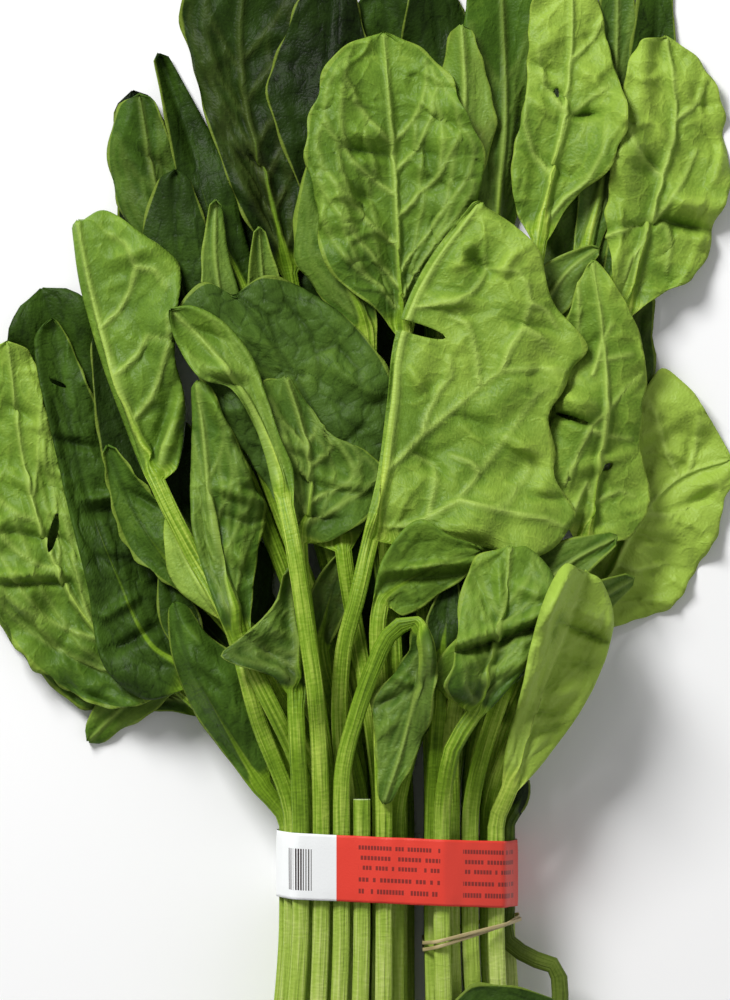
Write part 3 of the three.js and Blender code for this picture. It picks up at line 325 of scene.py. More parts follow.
LOOKS = {
    "leaf_under_left": look("upper", 0.34, 0.0, fine=0),
    "leaf_black_tip": look("upper", 0.0, 0.3, fine=0, ruffle=1.4),
    "leaf_under_middle_left": look("upper", 0.22, fine=0),
    "leaf_under_middle": look("upper", 0.3, fine=0),
    "leaf_back_dark": look("upper", 0.22, fine=1),
    "leaf_under_right": look("under", 0.35, fine=0),
    "leaf_under_right_low": look("upper", 0.3, fine=0),
    "leaf_low_left_long": look("under", 0.5, 0.0, wave=1.6, fine=1, pairs=4),
    "leaf_low_left_tip": look("under", 0.55, ruffle=1.5),
    "leaf_under_left_low": look("upper", 0.3, 0.1),
    "leaf_olive_top_left": look("under", 0.40, wave=1.6),
    "leaf_pointed_top_left": look("upper", 0.25, turn=(0, 1)),
    "leaf_top_left_big": look("under", 0.16, 0.0, wave=1.4, pairs=6),
    "leaf_under_centre_low": look("upper", 0.28, fine=0),
    "leaf_top_curled": look("under", 0.5, turn=(1, 0)),
    "leaf_behind_right": look("under", 0.45),
    "leaf_top_grey": look("under", 0.55, 0.2),
    "leaf_corner_tip": look("upper", 0.35),
    "leaf_right_light": look("under", 1.15, wave=1.6, ruffle=0.8, fine=2, pairs=4, base=0.1),
    "leaf_far_left": look("under", 0.87, wave=1.6, ruffle=0.9, fine=2, pairs=4, base=-0.38),
    "leaf_left_dark_rolled": look("upper", 0.41, 0.15, wave=1.8, turn=(1.2, 0), fine=2, pairs=5,
                                  base=-0.08),
    "leaf_left_shadow": look("upper", 0.2, 0.2),
    "leaf_round_shade": look("upper", 0.24, 0.2),
    "leaf_upright_light": look("under", 0.55, turn=(0, 1)),
    "leaf_small_upright": look("under", 0.6),
    "leaf_top_dark": look("upper", 0.08, 0.0, wave=1.3),
    "leaf_back_pale": look("under", 0.74, dry=0.4, ruffle=1.5),
    "leaf_pointed_right": look("under", 0.58),
    "leaf_top_right": look("under", 0.94, wave=1.8, ruffle=1.0, fine=2, pairs=4, base=-0.14),
    "leaf_right_dark": look("under", 0.82, 0.1, wave=1.4, fine=2, pairs=4),
    "leaf_right_stub": look("upper", 0.03, fine=0),
    "leaf_left_edge": look("upper", 0.42, 0.1, wave=1.2, base=0.05),
    "leaf_left_point_down": look("upper", 0.35, ruffle=1.4),
    "leaf_left_lobe": look("under", 0.86),
    "leaf_left_ruffled": look("upper", 0.52, 0.1, ruffle=2.2, fine=1),
    "leaf_grey_crumpled": look("upper", 0.40, 0.4, dry=0.15, ruffle=1.6),
    "leaf_dark_round": look("upper", 0.46, 0.45, wave=0.9, ruffle=0.5, fine=3, pairs=6),
    "leaf_top_middle_behind": look("under", 0.52),
    "leaf_top_middle": look("under", 0.76, wave=1.5, fine=3, pairs=5, base=-0.2),
    "leaf_top_bright": look("under", 0.98, wave=1.5, fine=2, pairs=5, base=-0.3),
    "leaf_right_inner": look("under", 0.58, 0.0),
    "leaf_right_low_inner": look("under", 0.6),
    "leaf_mid_lobe": look("under", 0.5, 0.1, wave=1.3, base=-0.1),
    "leaf_left_bright": look("under", 0.77, wave=1.2, turn=(1.1, 1.0), fine=2, pairs=4, base=-0.12),
    "leaf_left_folded_mid": look("under", 0.62, wave=2.0, turn=(0.9, 0), ruffle=1.4, fine=2, pairs=4,
                                 base=-0.12),
    "leaf_hand_shaped": look("under", 0.60, 0.3, wave=1.2, fine=2, pairs=4, base=-0.08),
    "leaf_centre_big": look("under", 0.86, wave=1.0, turn=(1.0, 0), fine=3, pairs=5, base=-0.06),
    "leaf_strip_middle": look("under", 0.4, ruffle=1.4),
    "leaf_dark_patch": look("upper", 0.22, 0.2),
    "leaf_right_shaded": look("under", 0.72, wave=0.8),
    "leaf_right_stalk": look("under", 0.5),
    "leaf_centre_folded": look("upper", 0.71, 0.1, turn=(1, 0), fine=2, wave=0.6),
    "stalk_cut_short": look(tone=0.5, fine=0),
    "leaf_hanging_crumpled": look("under", 0.58, wave=1.2, ruffle=1.8, fine=2, base=-0.1),
    "leaf_rolled_mid": look("under", 0.66, wave=1.2, turn=(1.2, 1.2), fine=2, pairs=4, base=0.1),
    "leaf_right_folded": look("under", 0.74, turn=(0, 1.1), wave=1.2, fine=2, base=-0.3, pairs=5),
    "leaf_right_pale_folded": look("under", 1.1, wave=1.4, turn=(0.9, 1.1), fine=2, pairs=4,
                                   base=-0.05),
    "leaf_foot": look("upper", 0.3, 0.2, ruffle=1.2),
}

# Side veins that are drawn one by one, as points in the plan. Every other leaf grows its own.
VEINS = {
    "leaf_centre_big": [
        [(-4, 117), (5, 127), (17, 137), (25.5, 144), (30, 147), (40, 148), (49, 147)],
        [(30, 147), (32, 153), (36, 159.5), (38, 167), (37.4, 172.6), (34.8, 176.6), (26, 177.5)],
        [(5.4, 165.8), (10.3, 167), (16.3, 167.6), (20.2, 169.6), (23.5, 173.3), (25.5, 177.2),
         (24.8, 181)],
        [(23, 143.5), (22.5, 151), (21, 157.5), (19.5, 161), (15, 163)],
        [(6.3, 129), (8, 134.3), (11.6, 141.6), (15, 145.5), (14.5, 151)],
        [(-6, 101), (1, 101), (7.7, 103.2), (17, 108.5), (23, 117), (28.8, 124.4), (33.4, 130.3),
         (39.4, 139.6), (42.7, 142.2)],
        [(17, 108.5), (22.2, 107.2), (28.1, 105.9), (30.8, 107.9), (36.1, 114.5), (38.1, 118)],
        [(28.1, 105.9), (34.8, 104.5), (42.6, 103.2), (48, 101)],
        [(22.9, 117.1), (20.9, 119.7), (15, 122)],
        [(8, 103.4), (8.9, 107.8), (10.3, 114.5), (9.6, 119), (4, 122)],
        [(38, 167), (43, 165), (46, 160)],
        [(36, 159.5), (41, 157), (45, 152)],
    ],
    "leaf_right_dark": [
        [(50, 101), (52, 108), (55, 114), (57, 107.9), (65, 111.8), (69, 110)],
        [(48.6, 113.8), (52, 121), (55.9, 129.6), (61.9, 136.3), (66.5, 141.5), (71, 146)],
        [(55.9, 129.6), (61, 128), (68, 127)],
        [(58.5, 150.1), (60, 156), (62.5, 160.7)],
        [(57, 146), (58.5, 150.1), (63, 151), (68.4, 152.1)],
        [(52.3, 176), (53, 168), (52.6, 157.4)],
    ],
    "leaf_top_right": [
        [(61, 187), (69.8, 190.4), (74.4, 192.5), (79, 190), (80.3, 184.5), (79, 177)],
        [(74.4, 192.5), (79.7, 197), (84, 204), (88, 213)],
        [(78, 205), (72, 210), (68, 218), (66, 226)],
        [(82, 222), (87, 226), (90, 231)],
        [(72, 185), (68, 180), (66, 174)],
    ],
    "leaf_top_bright": [
        [(41, 188), (48.6, 198.4), (55.2, 203.6), (60, 212), (61, 219)],
        [(45, 205), (40, 211), (37, 221), (38, 232)],
        [(47, 212), (50, 223), (57, 229), (62, 232)],
        [(49, 224), (43, 232), (41, 243)],
        [(51, 240), (57, 246), (60, 252)],
    ],
    "leaf_left_bright": [
        [(-88.4, 160.5), (-83.6, 165), (-80.4, 170.8), (-78.5, 178), (-81.7, 185), (-87, 188)],
        [(-78.5, 178), (-72.7, 177), (-69.5, 172)],
        [(-79, 133), (-74, 139), (-71, 147), (-68.5, 156), (-69, 164)],
        [(-84, 146), (-78, 152), (-75.3, 157.3), (-69, 156.3)],
        [(-72, 115), (-70, 124), (-67, 132)],
    ],
    "leaf_dark_round": [
        [(-50, 171), (-39, 163), (-35, 149), (-34, 140)],
        [(-34, 168), (-27, 159), (-24, 148), (-24, 142)],
        [(-25, 153), (-19, 155), (-13, 148), (-12, 143), (-18, 138)],
        [(-27, 171), (-19, 166), (-12, 158), (-6, 150)],
        [(-19, 124), (-12, 130), (-7, 138)],
        [(-22, 128), (-30, 134), (-42, 136), (-50, 143)],
        [(-29, 146), (-38, 147), (-47, 152), (-54, 160)],
        [(-42, 136), (-41, 128), (-36, 121)],
    ],
    "leaf_right_light": [
        [(75, 104.5), (72, 113), (66, 122), (62, 128)],
        [(83, 115.8), (79, 124), (75.7, 135), (72.4, 140)],
        [(86, 117), (88, 124), (89, 133)],
        [(64, 90), (70, 88), (79, 90)],
        [(72, 105), (80, 104), (90, 108)],
    ],
}

# Folds: the two ends of a line in the plan, its height over the blade and its half width. A
# negative height is a groove.
FOLDS = {
    "leaf_top_middle": [
        (-16.9, 213, -3.8, 211, -2.6, 1.7), (-17, 218, -4, 217, 1.6, 2.4),
        (6.5, 216, 9, 206, -1.8, 2.0), (-13, 201, -8, 197, -1.6, 1.6),
        (11, 222, 16, 210, 1.6, 3.0), (-20, 205, -15, 190, 1.4, 3.0)],
    "leaf_top_bright": [
        (50, 223.6, 60, 224, -2.6, 1.1), (38, 229, 45, 223, 1.6, 1.6), (37, 240, 46, 236, -1.5, 1.6),
        (43, 232, 50, 228, -1.8, 1.5), (52, 238, 60, 233, 1.5, 2.0), (40, 212, 52, 204, -1.2, 1.6)],
    "leaf_top_right": [
        (66, 189.5, 79, 192.5, -2.0, 1.2), (78, 192, 93, 189, -4.5, 1.7), (79, 198, 93, 196, 2.8, 2.6),
        (75, 222, 81, 214, 1.6, 2.0), (80, 238, 88, 226, 1.6, 2.6), (72, 212, 77, 206, -1.6, 1.8)],
    "leaf_centre_big": [
        (19, 182, 26, 176.5, -2.6, 1.8), (8, 169, 23, 167, 1.7, 1.7), (31, 162, 46, 159, -1.7, 1.7),
        (14, 176, 22, 187, 1.6, 2.4), (28, 172, 34, 184, 1.5, 2.2), (2, 148, 8, 140, 1.5, 1.8),
        (2, 124, 14, 116, -1.6, 1.8), (31, 127, 44, 121, 1.8, 2.2), (15, 134, 26, 131, -1.3, 1.6),
        (36, 110, 50, 109, -1.6, 1.6), (10, 102, 24, 99, 1.4, 1.8), (42, 150, 50, 141, 1.6, 2.0)],
    "leaf_right_dark": [
        (45, 135, 57, 131, -3.0, 1.3), (47, 140, 60, 136, 1.8, 2.0), (53, 118, 68, 123, 1.6, 1.8),
        (50, 150, 60, 158, -1.5, 1.8), (47, 110, 56, 104, 1.5, 2.0)],
    "leaf_right_light": [
        (66, 100, 82, 96, -2.0, 1.8), (70, 128, 84, 132, 1.8, 2.4), (84, 106, 94, 112, -1.8, 1.8),
        (62, 84, 74, 84, 1.6, 2.2), (60, 110, 68, 120, -1.4, 1.8)],
    "leaf_far_left": [
        (-124, 86.5, -99, 87, 1.8, 1.1), (-122, 84, -98, 84, -1.8, 1.1),
        (-120, 100, -101, 96.5, -1.8, 1.6), (-116, 80, -99, 66, 1.8, 1.5),
        (-100, 54, -82, 46, -1.8, 1.6), (-112, 70, -90, 58, -1.6, 1.6),
        (-120, 118, -108, 112, 1.6, 2.0), (-118, 138, -110, 133, -1.4, 1.6)],
    "leaf_left_dark_rolled": [
        (-103, 127, -89, 124, -1.9, 1.5), (-95, 109, -83, 110.5, 2.0, 1.3),
        (-94, 105, -82, 106, -1.8, 1.6), (-89, 74, -77, 81, 2.0, 1.5),
        (-86, 64, -70, 72.5, -2.2, 1.7), (-90, 92, -76, 90, -1.4, 1.6)],
    "leaf_left_bright": [
        (-73, 157, -64, 156, -2.0, 1.2), (-64, 142, -72, 114, 2.4, 2.0),
        (-68, 142, -75, 116, -1.6, 2.0), (-86, 180, -74, 184, 1.5, 2.4),
        (-84, 150, -80, 140, 1.4, 1.8)],
    "leaf_left_folded_mid": [
        (-49.5, 137, -45, 122, -4.5, 2.8), (-59, 143, -50, 129, 2.8, 2.0),
        (-54.5, 113, -43, 109, 2.2, 1.8), (-55, 105, -44, 101, -2.2, 2.0),
        (-57, 109, -54, 87, 1.4, 1.2), (-52, 96, -44, 88, 1.8, 2.0)],
    "leaf_rolled_mid": [
        (-57, 145, -47, 142, -3.4, 1.4), (-58, 149, -46, 146, 2.2, 1.8),
        (-48, 141, -36, 112, 1.8, 1.8), (-62, 160, -52, 156, -1.4, 1.6)],
    "leaf_hand_shaped": [
        (-38, 128, -24, 122, 1.8, 1.8), (-36, 118, -22, 112, -1.8, 1.8), (-24, 116, -8, 112, 1.8, 1.6),
        (-30, 104, -16, 103, -1.6, 1.6)],
    "leaf_right_pale_folded": [
        (40, 72, 50, 89, 5.0, 2.3), (42, 64, 48.5, 81, -3.6, 1.5), (47, 73, 61, 67, -3.6, 1.3),
        (48, 78, 61, 72, 3.4, 2.6), (36, 50, 52, 53, 1.8, 2.0), (38, 40, 50, 43, -1.6, 1.8),
        (38, 47, 49, 46, -1.5, 1.5), (46, 62, 58, 60, -1.4, 1.6)],
    "leaf_right_folded": [
        (28.7, 90, 29.3, 76, 1.8, 1.3), (20, 90, 25, 78, -1.8, 1.8), (33, 84, 44, 80, 2.0, 1.8),
        (13, 66.5, 30, 71, 3.2, 1.3), (30, 71, 48, 79, 3.2, 1.3), (13, 63.5, 31, 68, -4.0, 1.5),
        (31, 68, 49, 75.5, -4.0, 1.5), (20, 55, 36, 62, 1.6, 1.8)],
    "leaf_centre_folded": [
        (-5, 88, 22, 91, 2.0, 1.3), (-4, 85, 20, 87, -1.6, 1.4)],
    "leaf_hanging_crumpled": [
        (-10, 54, -4, 58, 2.0, 1.3), (-4, 58, 4, 55, 2.0, 1.3), (-8, 48, 0, 52, -2.2, 1.6),
        (-9, 38, -2, 44, 1.4, 1.6)],
    "leaf_mid_lobe": [(-46, 70, -34, 60, -1.8, 1.8), (-40, 76, -33, 66, 1.8, 1.8)],
    "leaf_left_edge": [(-66, 74, -56, 64, 1.8, 1.8), (-62, 60, -52, 52, -1.8, 1.8)],
    "leaf_left_ruffled": [
        (-82, 112, -70, 106, -2.4, 1.6), (-80, 118, -72, 114, 2.0, 1.6), (-72, 98, -62, 96, 1.8, 1.6)],
    "leaf_top_left_big": [(-52, 236, -36, 228, 1.6, 2.2), (-50, 214, -38, 206, -1.6, 2.0)],
    "leaf_olive_top_left": [(-80, 214, -68, 206, -1.8, 1.8), (-76, 196, -66, 190, 1.6, 2.0)],
    "leaf_dark_round": [
        (-48, 160, -36, 152, 1.4, 3.0), (-24, 150, -8, 142, 1.4, 3.0), (-16, 132, -6, 124, -1.4, 2.4)],
}

# Tears and holes: a middle, half a length, half a width and a direction in degrees.
CUTS = {
    "leaf_centre_big": [(4.2, 159.6, 9.5, 1.7, -17)],
    "leaf_top_bright": [(46.5, 230, 0.8, 1.7, 0)],
    "leaf_right_dark": [(61.2, 118.8, 2.0, 1.0, 25), (51, 133, 6.0, 0.8, -17)],
    "leaf_far_left": [(-103.4, 99, 1.3, 6.0, -12)],
    "leaf_left_dark_rolled": [(-102, 143.6, 3.2, 0.7, -20)],
}


# ---------- small sums ----------
def ease(t):
    """0 to 1 with a level start and end: 3 t squared less 2 t cubed."""
    t = np.clip(t, 0, 1)
    return t * t * (3 - 2 * t)


def mix(a, b, t):
    """a at t = 0 and b at t = 1."""
    return a + (b - a) * t


SINES = 7               # sine waves that are added up to one random height


def waves(x, y, length, seed):
    """A smooth random height of about -1 to 1: a sum of sine waves near one length, each with
    its own direction and start."""
    own = np.random.default_rng(seed)
    total = np.zeros(np.broadcast(x, y).shape)
    for _ in range(SINES):
        way, start = own.uniform(0, 2 * math.pi, 2)
        number = 2 * math.pi / (length * own.uniform(0.7, 1.5))
        total += np.sin(number * (x * math.cos(way) + y * math.sin(way)) + start)
    return total / math.sqrt(SINES) / 1.3


def cell_edges(x, y, size, seed):
    """How far a point is from the edge between two cells of a jittered grid: the distance to the
    second nearest cell middle less that to the nearest, over the cell size. The large numbers
    only scatter the cells' middles."""
    cx, cy = np.floor(x / size), np.floor(y / size)
    near = []
    for dx in (-1, 0, 1):
        for dy in (-1, 0, 1):
            gx, gy = cx + dx, cy + dy
            turn = np.sin(gx * 127.1 + gy * 311.7 + seed * 17.3) * 43758.5453
            lift = np.sin(gx * 269.5 + gy * 183.3 + seed * 11.9) * 28001.8384
            px = (gx + 0.5 + 0.8 * (turn - np.floor(turn) - 0.5)) * size
            py = (gy + 0.5 + 0.8 * (lift - np.floor(lift) - 0.5)) * size
            near.append(np.hypot(x - px, y - py))
    near = np.sort(np.array(near), axis=0)
    return (near[1] - near[0]) / size


def spread(grid, rows, columns):
    """The highest neighbour within so many rows and columns, then their mean: a smooth cover."""
    def windowed(values, reach, axis, join):
        """Each value joined with those at most reach away, along one axis."""
        if reach < 1:
            return values
        pad = [(0, 0), (0, 0)]
        pad[axis] = (reach, reach)
        padded = np.pad(values, pad, mode="edge")
        size = values.shape[axis]
        parts = [np.take(padded, np.arange(k, k + size), axis) for k in range(2 * reach + 1)]
        return join(parts, axis=0)
    for join in (np.max, np.mean):
        grid = windowed(windowed(grid, rows, 0, join), columns, 1, join)
    return grid


class Curve:
    """A smooth curve through points: between two points it is a cubic whose directions there are
    those of the chord from the point before to the point after."""

    def __init__(self, points, first_way=None):
        self.points = np.array(points, float)
        chords = np.hypot(*np.diff(self.points, axis=0).T)
        self.marks = np.concatenate([[0.0], np.cumsum(chords)])
        self.length = self.marks[-1]
        count = len(self.points)
        before = np.maximum(np.arange(count) - 1, 0)
        after = np.minimum(np.arange(count) + 1, count - 1)
        run = self.marks[after] - self.marks[before]
        self.ways = (self.points[after] - self.points[before]) / run[:, None]
        if first_way is not None:
            self.ways[0] = first_way

    def at(self, distance):
        """The points at distances along the chords."""
        d = np.clip(np.atleast_1d(np.asarray(distance, float)), 0, self.length)
        i = np.clip(np.searchsorted(self.marks, d), 1, len(self.marks) - 1)
        run = self.marks[i] - self.marks[i - 1]
        t = (d - self.marks[i - 1]) / run
        rise = (t * t * (3 - 2 * t))[:, None]
        out = (t * (1 - t) ** 2 * run)[:, None]
        back = (t * t * (t - 1) * run)[:, None]
        chord = mix(self.points[i - 1], self.points[i], rise)
        return chord + out * self.ways[i - 1] + back * self.ways[i]

    def left(self, distance):
        """The unit vectors to the left of the curve, seen from above."""
        way = self.at(np.asarray(distance) + 0.5) - self.at(np.asarray(distance) - 0.5)
        way /= np.hypot(way[:, 0], way[:, 1])[:, None]
        return np.stack([-way[:, 1], way[:, 0]], axis=1)


def between(x, y, wanted, level=None):
    """Rows of numbers y, given at x, at the wanted x: a cubic between each two, with the mean
    slope of its neighbours at each end, and no slope where level says so."""
    slope = np.gradient(y, x, axis=0)
    if level is not None:
        slope[level] = 0
    i = np.clip(np.searchsorted(x, wanted), 1, len(x) - 1)
    run = (x[i] - x[i - 1])
    t = np.clip((wanted - x[i - 1]) / run, 0, 1)[:, None]
    run = run[:, None]
    return (mix(y[i - 1], y[i], t * t * (3 - 2 * t)) + t * (1 - t) ** 2 * run * slope[i - 1]
            + t * t * (t - 1) * run * slope[i])


# ---------- a leaf's plan ----------
class Plan:
    """The outline of a leaf seen from above, in numbered rows: below the band, through it, along
    the stalk, and up the blade. A row may be a fraction, for a place between two rows."""

    def __init__(self, leaf):
        self.half = STALK_WIDE / 2
        self.bare = "bare" in leaf
        rib = leaf.get("rib") or [(leaf["slot"], leaf["bare"])]
        self.loose = "stalk" in leaf
        if self.loose:
            points, self.below_steps, self.first = list(leaf["stalk"]) + rib, 0, 0
        else:
            slot = leaf["slot"]
            foot = (leaf.get("foot_x", slot * FOOT_SPREAD), leaf["foot"])
            self.below = Curve([(slot, -HELD), *leaf.get("foot_via", []), foot], (0, -1))
            self.below_steps = 6 if "foot_via" in leaf else 2
            self.first = self.below_steps + 1
            self.slot = slot
            points = [(slot, HELD), *leaf.get("via", []), *rib]
        self.path = Curve(points, None if self.loose else (0, 1))
        self.base = self.path.marks[len(points) - len(rib)]
        step = STEP * BENT_SHARE if "via" in leaf else STEP
        self.stalk_steps = math.ceil(self.base / step)
        self.blade_row = self.first + self.stalk_steps
        self.blade_long = self.path.length - self.base
        steps = int(np.clip(round(self.blade_long / STATION), FEWEST, MOST))
        self.blade_steps = 0 if self.bare else steps
        self.rows = self.blade_row + self.blade_steps
        if not self.bare:
            self.margins = [self.margin(leaf["left"], 1), self.margin(leaf["right"], -1)]

    def margin(self, edge, side):
        """A margin as a function of the share of the blade's length."""
        if np.ndim(edge[0]) == 0:
            reaches = Curve([(i, r) for i, r in enumerate(edge)])

            def place(u):
                """The midrib's point there, moved out square to it by the smooth distance."""
                d = self.base + self.blade_long * u
                reach = np.maximum(LEAST_HALF, reaches.at(reaches.length * u)[:, 1:]) * side
                return self.path.at(d) + self.path.left(d) * reach
            return place
        ends = [self.path.at(d)[0] + self.path.left([d])[0] * reach * side
                for d, reach in ((self.base, self.half), (self.path.length, TIP_HALF))]
        outline = Curve([ends[0], *edge, ends[1]])

        def on_outline(u):
            """The point at that share of the outline's own length."""
            return outline.at(outline.length * u)
        return on_outline

    def at(self, rows):
        """Middles, left margins, right margins and the share of the blade at rows."""
        rows = np.asarray(rows, float)
        middle = np.zeros((len(rows), 2))
        left = np.zeros((len(rows), 2))
        share = np.clip((rows - self.blade_row) / max(1, self.blade_steps), 0, 1)
        share[rows < self.blade_row] = -1
        if not self.loose:
            under = rows <= self.below_steps
            d = self.below.length * (self.below_steps - rows[under]) / self.below_steps
            middle[under] = self.below.at(d)
            left[under] = -self.below.left(d)
            inside = (rows > self.below_steps) & (rows < self.first)
            t = rows[inside] - self.below_steps
            middle[inside] = np.stack([np.full(len(t), self.slot), mix(-HELD, HELD, t)], axis=1)
            left[inside] = (-1, 0)
            left[rows == self.below_steps] = (-1, 0)
        above = rows >= self.first
        d = np.where(rows[above] < self.blade_row,
                     self.base * (rows[above] - self.first) / self.stalk_steps,
                     self.base + self.blade_long * np.maximum(share[above], 0))
        middle[above] = self.path.at(d)
        left[above] = self.path.left(d)
        sides = [middle + left * self.half, middle - left * self.half]
        if self.bare:
            share[:] = -1
        blade = share >= 0
        if blade.any():
            for side, margin in zip(sides, self.margins):
                side[blade] = margin(share[blade])
        return middle, sides[0], sides[1], share

    def along(self, rows):
        """The distance in millimetres of rows from the first row, along the middle."""
        fine = np.linspace(0, self.rows, 40 * self.rows + 1)
        middle = self.at(fine)[0]
        run = np.concatenate([[0], np.cumsum(np.hypot(*np.diff(middle, axis=0).T))])
        return np.interp(rows, fine, run)


def knot_heights(name, plan):
    """The heights of a packed leaf's middle surface: one row for each station, one number for
    each of its 5 or 7 knots across, read from the corners that stand at the knot's place."""
    rows = np.arange(plan.rows + 1)
    middle, left, right, share = plan.at(rows)
    widest = np.hypot(*(left - right).T).max()
    shares = np.array(KNOTS_WIDE if widest > WIDE_LEAF else KNOTS_NARROW)
    shares = np.concatenate([-shares, shares[-2::-1]])
    on_stalk = (share <= 0)[:, None]
    s = np.where(on_stalk, np.sin(np.abs(shares) * math.pi / 2), np.abs(shares))[:, :, None]
    edge = np.where((shares < 0)[None, :, None], left[:, None], right[:, None])
    knots = mix(middle[:, None], edge, s)
    mesh = frame["nodes"][name].data
    corners = np.zeros(len(mesh.vertices) * 3, np.float32)
    mesh.vertices.foreach_get("co", corners)
    corners = corners.reshape(-1, 3).astype(float) / MM
    away = np.hypot(knots[:, :, 0, None] - corners[:, 0], knots[:, :, 1, None] - corners[:, 1])
    near = away < SAME_PLACE
    if not near.any(axis=2).all():
        raise RuntimeError(f"{name}: a knot of the plan has no corner in the packed solid")
    high = np.where(near, corners[:, 2], -np.inf).max(axis=2)
    low = np.where(near, corners[:, 2], np.inf).min(axis=2)
    return shares, (high + low) / 2


# ---------- veins ----------
def grown_veins(plan, pairs, seed):
    """Side veins: each leaves the midrib at a slant and bends towards the tip, a branch leaves it
    half way out, and a bow near the margin joins it to the next one."""
    own = np.random.default_rng(seed)
    lines = []
    for side in (0, 1):
        starts = np.arange(pairs) + own.uniform(-0.18, 0.18, pairs) + 0.3 * side
        starts = np.maximum(0.02 + 0.74 * starts / pairs, 0.01)
        slant = own.uniform(0.20, 0.30, pairs) * np.linspace(1.15, 0.7, pairs)
        f = np.linspace(0, 0.84, 10)
        for k in range(pairs):
            u = starts[k] + slant[k] * f + 0.12 * f ** 2
            lines.append((side, u, f, 1.0 - 0.45 * k / pairs, 0.35))
            if k + 1 < pairs:
                g = np.linspace(0, 1, 7)
                fork = 0.5 + own.uniform(-0.08, 0.08)
                u0 = starts[k] + slant[k] * fork + 0.12 * fork ** 2
                u1 = starts[k + 1] + slant[k + 1] * 0.66 + 0.12 * 0.43
                lines.append((side, mix(u0, u1, g), mix(fork, 0.66, g ** 0.7), 0.5, 0.3))
                u2 = starts[k] + slant[k] * 0.84 + 0.12 * 0.7
                u3 = starts[k + 1] + slant[k + 1] * 0.8 + 0.12 * 0.64
                lines.append((side, mix(u2, u3, g), 0.82 + 0.06 * np.sin(g * math.pi), 0.35, 0.3))
                g = np.linspace(0, 1, 5)
                fork = 0.25 + own.uniform(-0.05, 0.05)
                u0 = starts[k] + slant[k] * fork + 0.12 * fork ** 2
                u1 = starts[k + 1] + slant[k + 1] * 0.3 + 0.12 * 0.09
                lines.append((side, mix(u0, u1, g), mix(fork, 0.32, g), 0.35, 0.25))
    out = []
    for side, u, f, thick, thin in lines:
        u = np.clip(u, 0.003, 0.99)
        middle = plan.path.at(plan.base + plan.blade_long * u)
        edge = plan.margins[side](u)
        jitter = own.normal(0, 0.25, (len(u), 2))
        jitter[0] = 0
        out.append((mix(middle, edge, f[:, None]) + jitter, thick, thin))
    return out


def vein_field(x, y, lines):
    """For each point, the distance to the nearest vein and that vein's own half width there, in
    millimetres. A vein is a chain of straight pieces that gets thinner."""
    points = [np.asarray(line, float) for line, _, _ in lines]
    widths = [np.linspace(thick, thin, len(line)) for line, thick, thin in lines]
    starts, ends = slice(0, -1), slice(1, None)
    a, b = (np.concatenate([line[part] for line in points]) for part in (starts, ends))
    w0, w1 = (np.concatenate([wide[part] for wide in widths]) for part in (starts, ends))
    px, py = x.reshape(-1, 1), y.reshape(-1, 1)
    run = b - a
    squared = np.maximum((run ** 2).sum(axis=1), 1e-9)
    t = np.clip(((px - a[:, 0]) * run[:, 0] + (py - a[:, 1]) * run[:, 1]) / squared, 0, 1)
    away = np.hypot(px - a[:, 0] - t * run[:, 0], py - a[:, 1] - t * run[:, 1])
    nearest = away.argmin(axis=1)
    each = np.arange(len(nearest))
    wide = mix(w0[nearest], w1[nearest], t[each, nearest])
    return away[each, nearest].reshape(x.shape), wide.reshape(x.shape)


def fold_relief(x, y, folds):
    """Ridges and grooves along short straight lines: each is a bell across its line, and it is
    highest in the middle of the line."""
    total = np.zeros(x.shape)
    for x0, y0, x1, y1, height, half in folds:
        run_x, run_y = x1 - x0, y1 - y0
        t = np.clip(((x - x0) * run_x + (y - y0) * run_y) / (run_x ** 2 + run_y ** 2), 0, 1)
        away = np.hypot(x - x0 - t * run_x, y - y0 - t * run_y)
        total += height * np.exp(-(away / half) ** 2) * (0.35 + 0.65 * np.sin(math.pi * t))
    return total


# ---------- the pile of laid leaves ----------
LEFT, RIGHT, FRONT, BACK = -170, 140, -100, 310     # the table area that the height maps cover
AIR = 0.3                                           # air between one leaf and the next
REACHES = (8, 5, 3, 2, 1)                           # rows that a lift is spread over, in turn
pile = np.full((BACK - FRONT, RIGHT - LEFT), -AIR)  # heights of all that is laid so far


def cell_of(x, y):
    """Row and column in the height maps of plan places."""
    return np.floor(y - FRONT).astype(int), np.floor(x - LEFT).astype(int)


def widened(heights):
    """Each cell takes the highest of itself and its eight neighbours."""
    out = heights.copy()
    for axis in (0, 1):
        near = out.copy()
        for shift in (-1, 1):
            near = np.maximum(near, np.roll(out, shift, axis))
        out = near
    return out


def lift_needed(x, y, bottom, on_stalk, fan):
    """How far a leaf has to rise to clear the pile, smoothed over its neighbours, and one number
    for each row of the stalk. Inside the fan the stalks already lie side by side."""
    rows, columns = cell_of(x, y)
    ground = widened(pile)[rows, columns]
    short = ground + AIR - bottom
    short[fan] = -1
    short[on_stalk] = short[on_stalk].max(axis=1, keepdims=True)
    lift = np.zeros_like(short)
    for reach in REACHES:
        lift += spread(np.maximum(short - lift, 0), reach, max(1, reach * 2 // 3)) * 0.999
        lift[fan] = 0
    lift += np.maximum(short - lift, 0)
    lift[on_stalk] = lift[on_stalk].max(axis=1, keepdims=True)
    return lift


def add_to_pile(x, y, top):
    """Write a laid leaf's upper side into the height maps, four times as finely as its grid."""
    def finer(grid):
        """Three more rows and one more column between each two, on straight lines."""
        rows = np.arange(0, grid.shape[0] - 0.999, 0.25)
        low = np.minimum(rows.astype(int), grid.shape[0] - 2)
        grid = mix(grid[low], grid[low + 1], (rows - low)[:, None])
        return np.concatenate([grid[:, :-1], (grid[:, :-1] + grid[:, 1:]) / 2], axis=1)
    rows, columns = cell_of(finer(x), finer(y))
    np.maximum.at(pile, (rows, columns), finer(top))


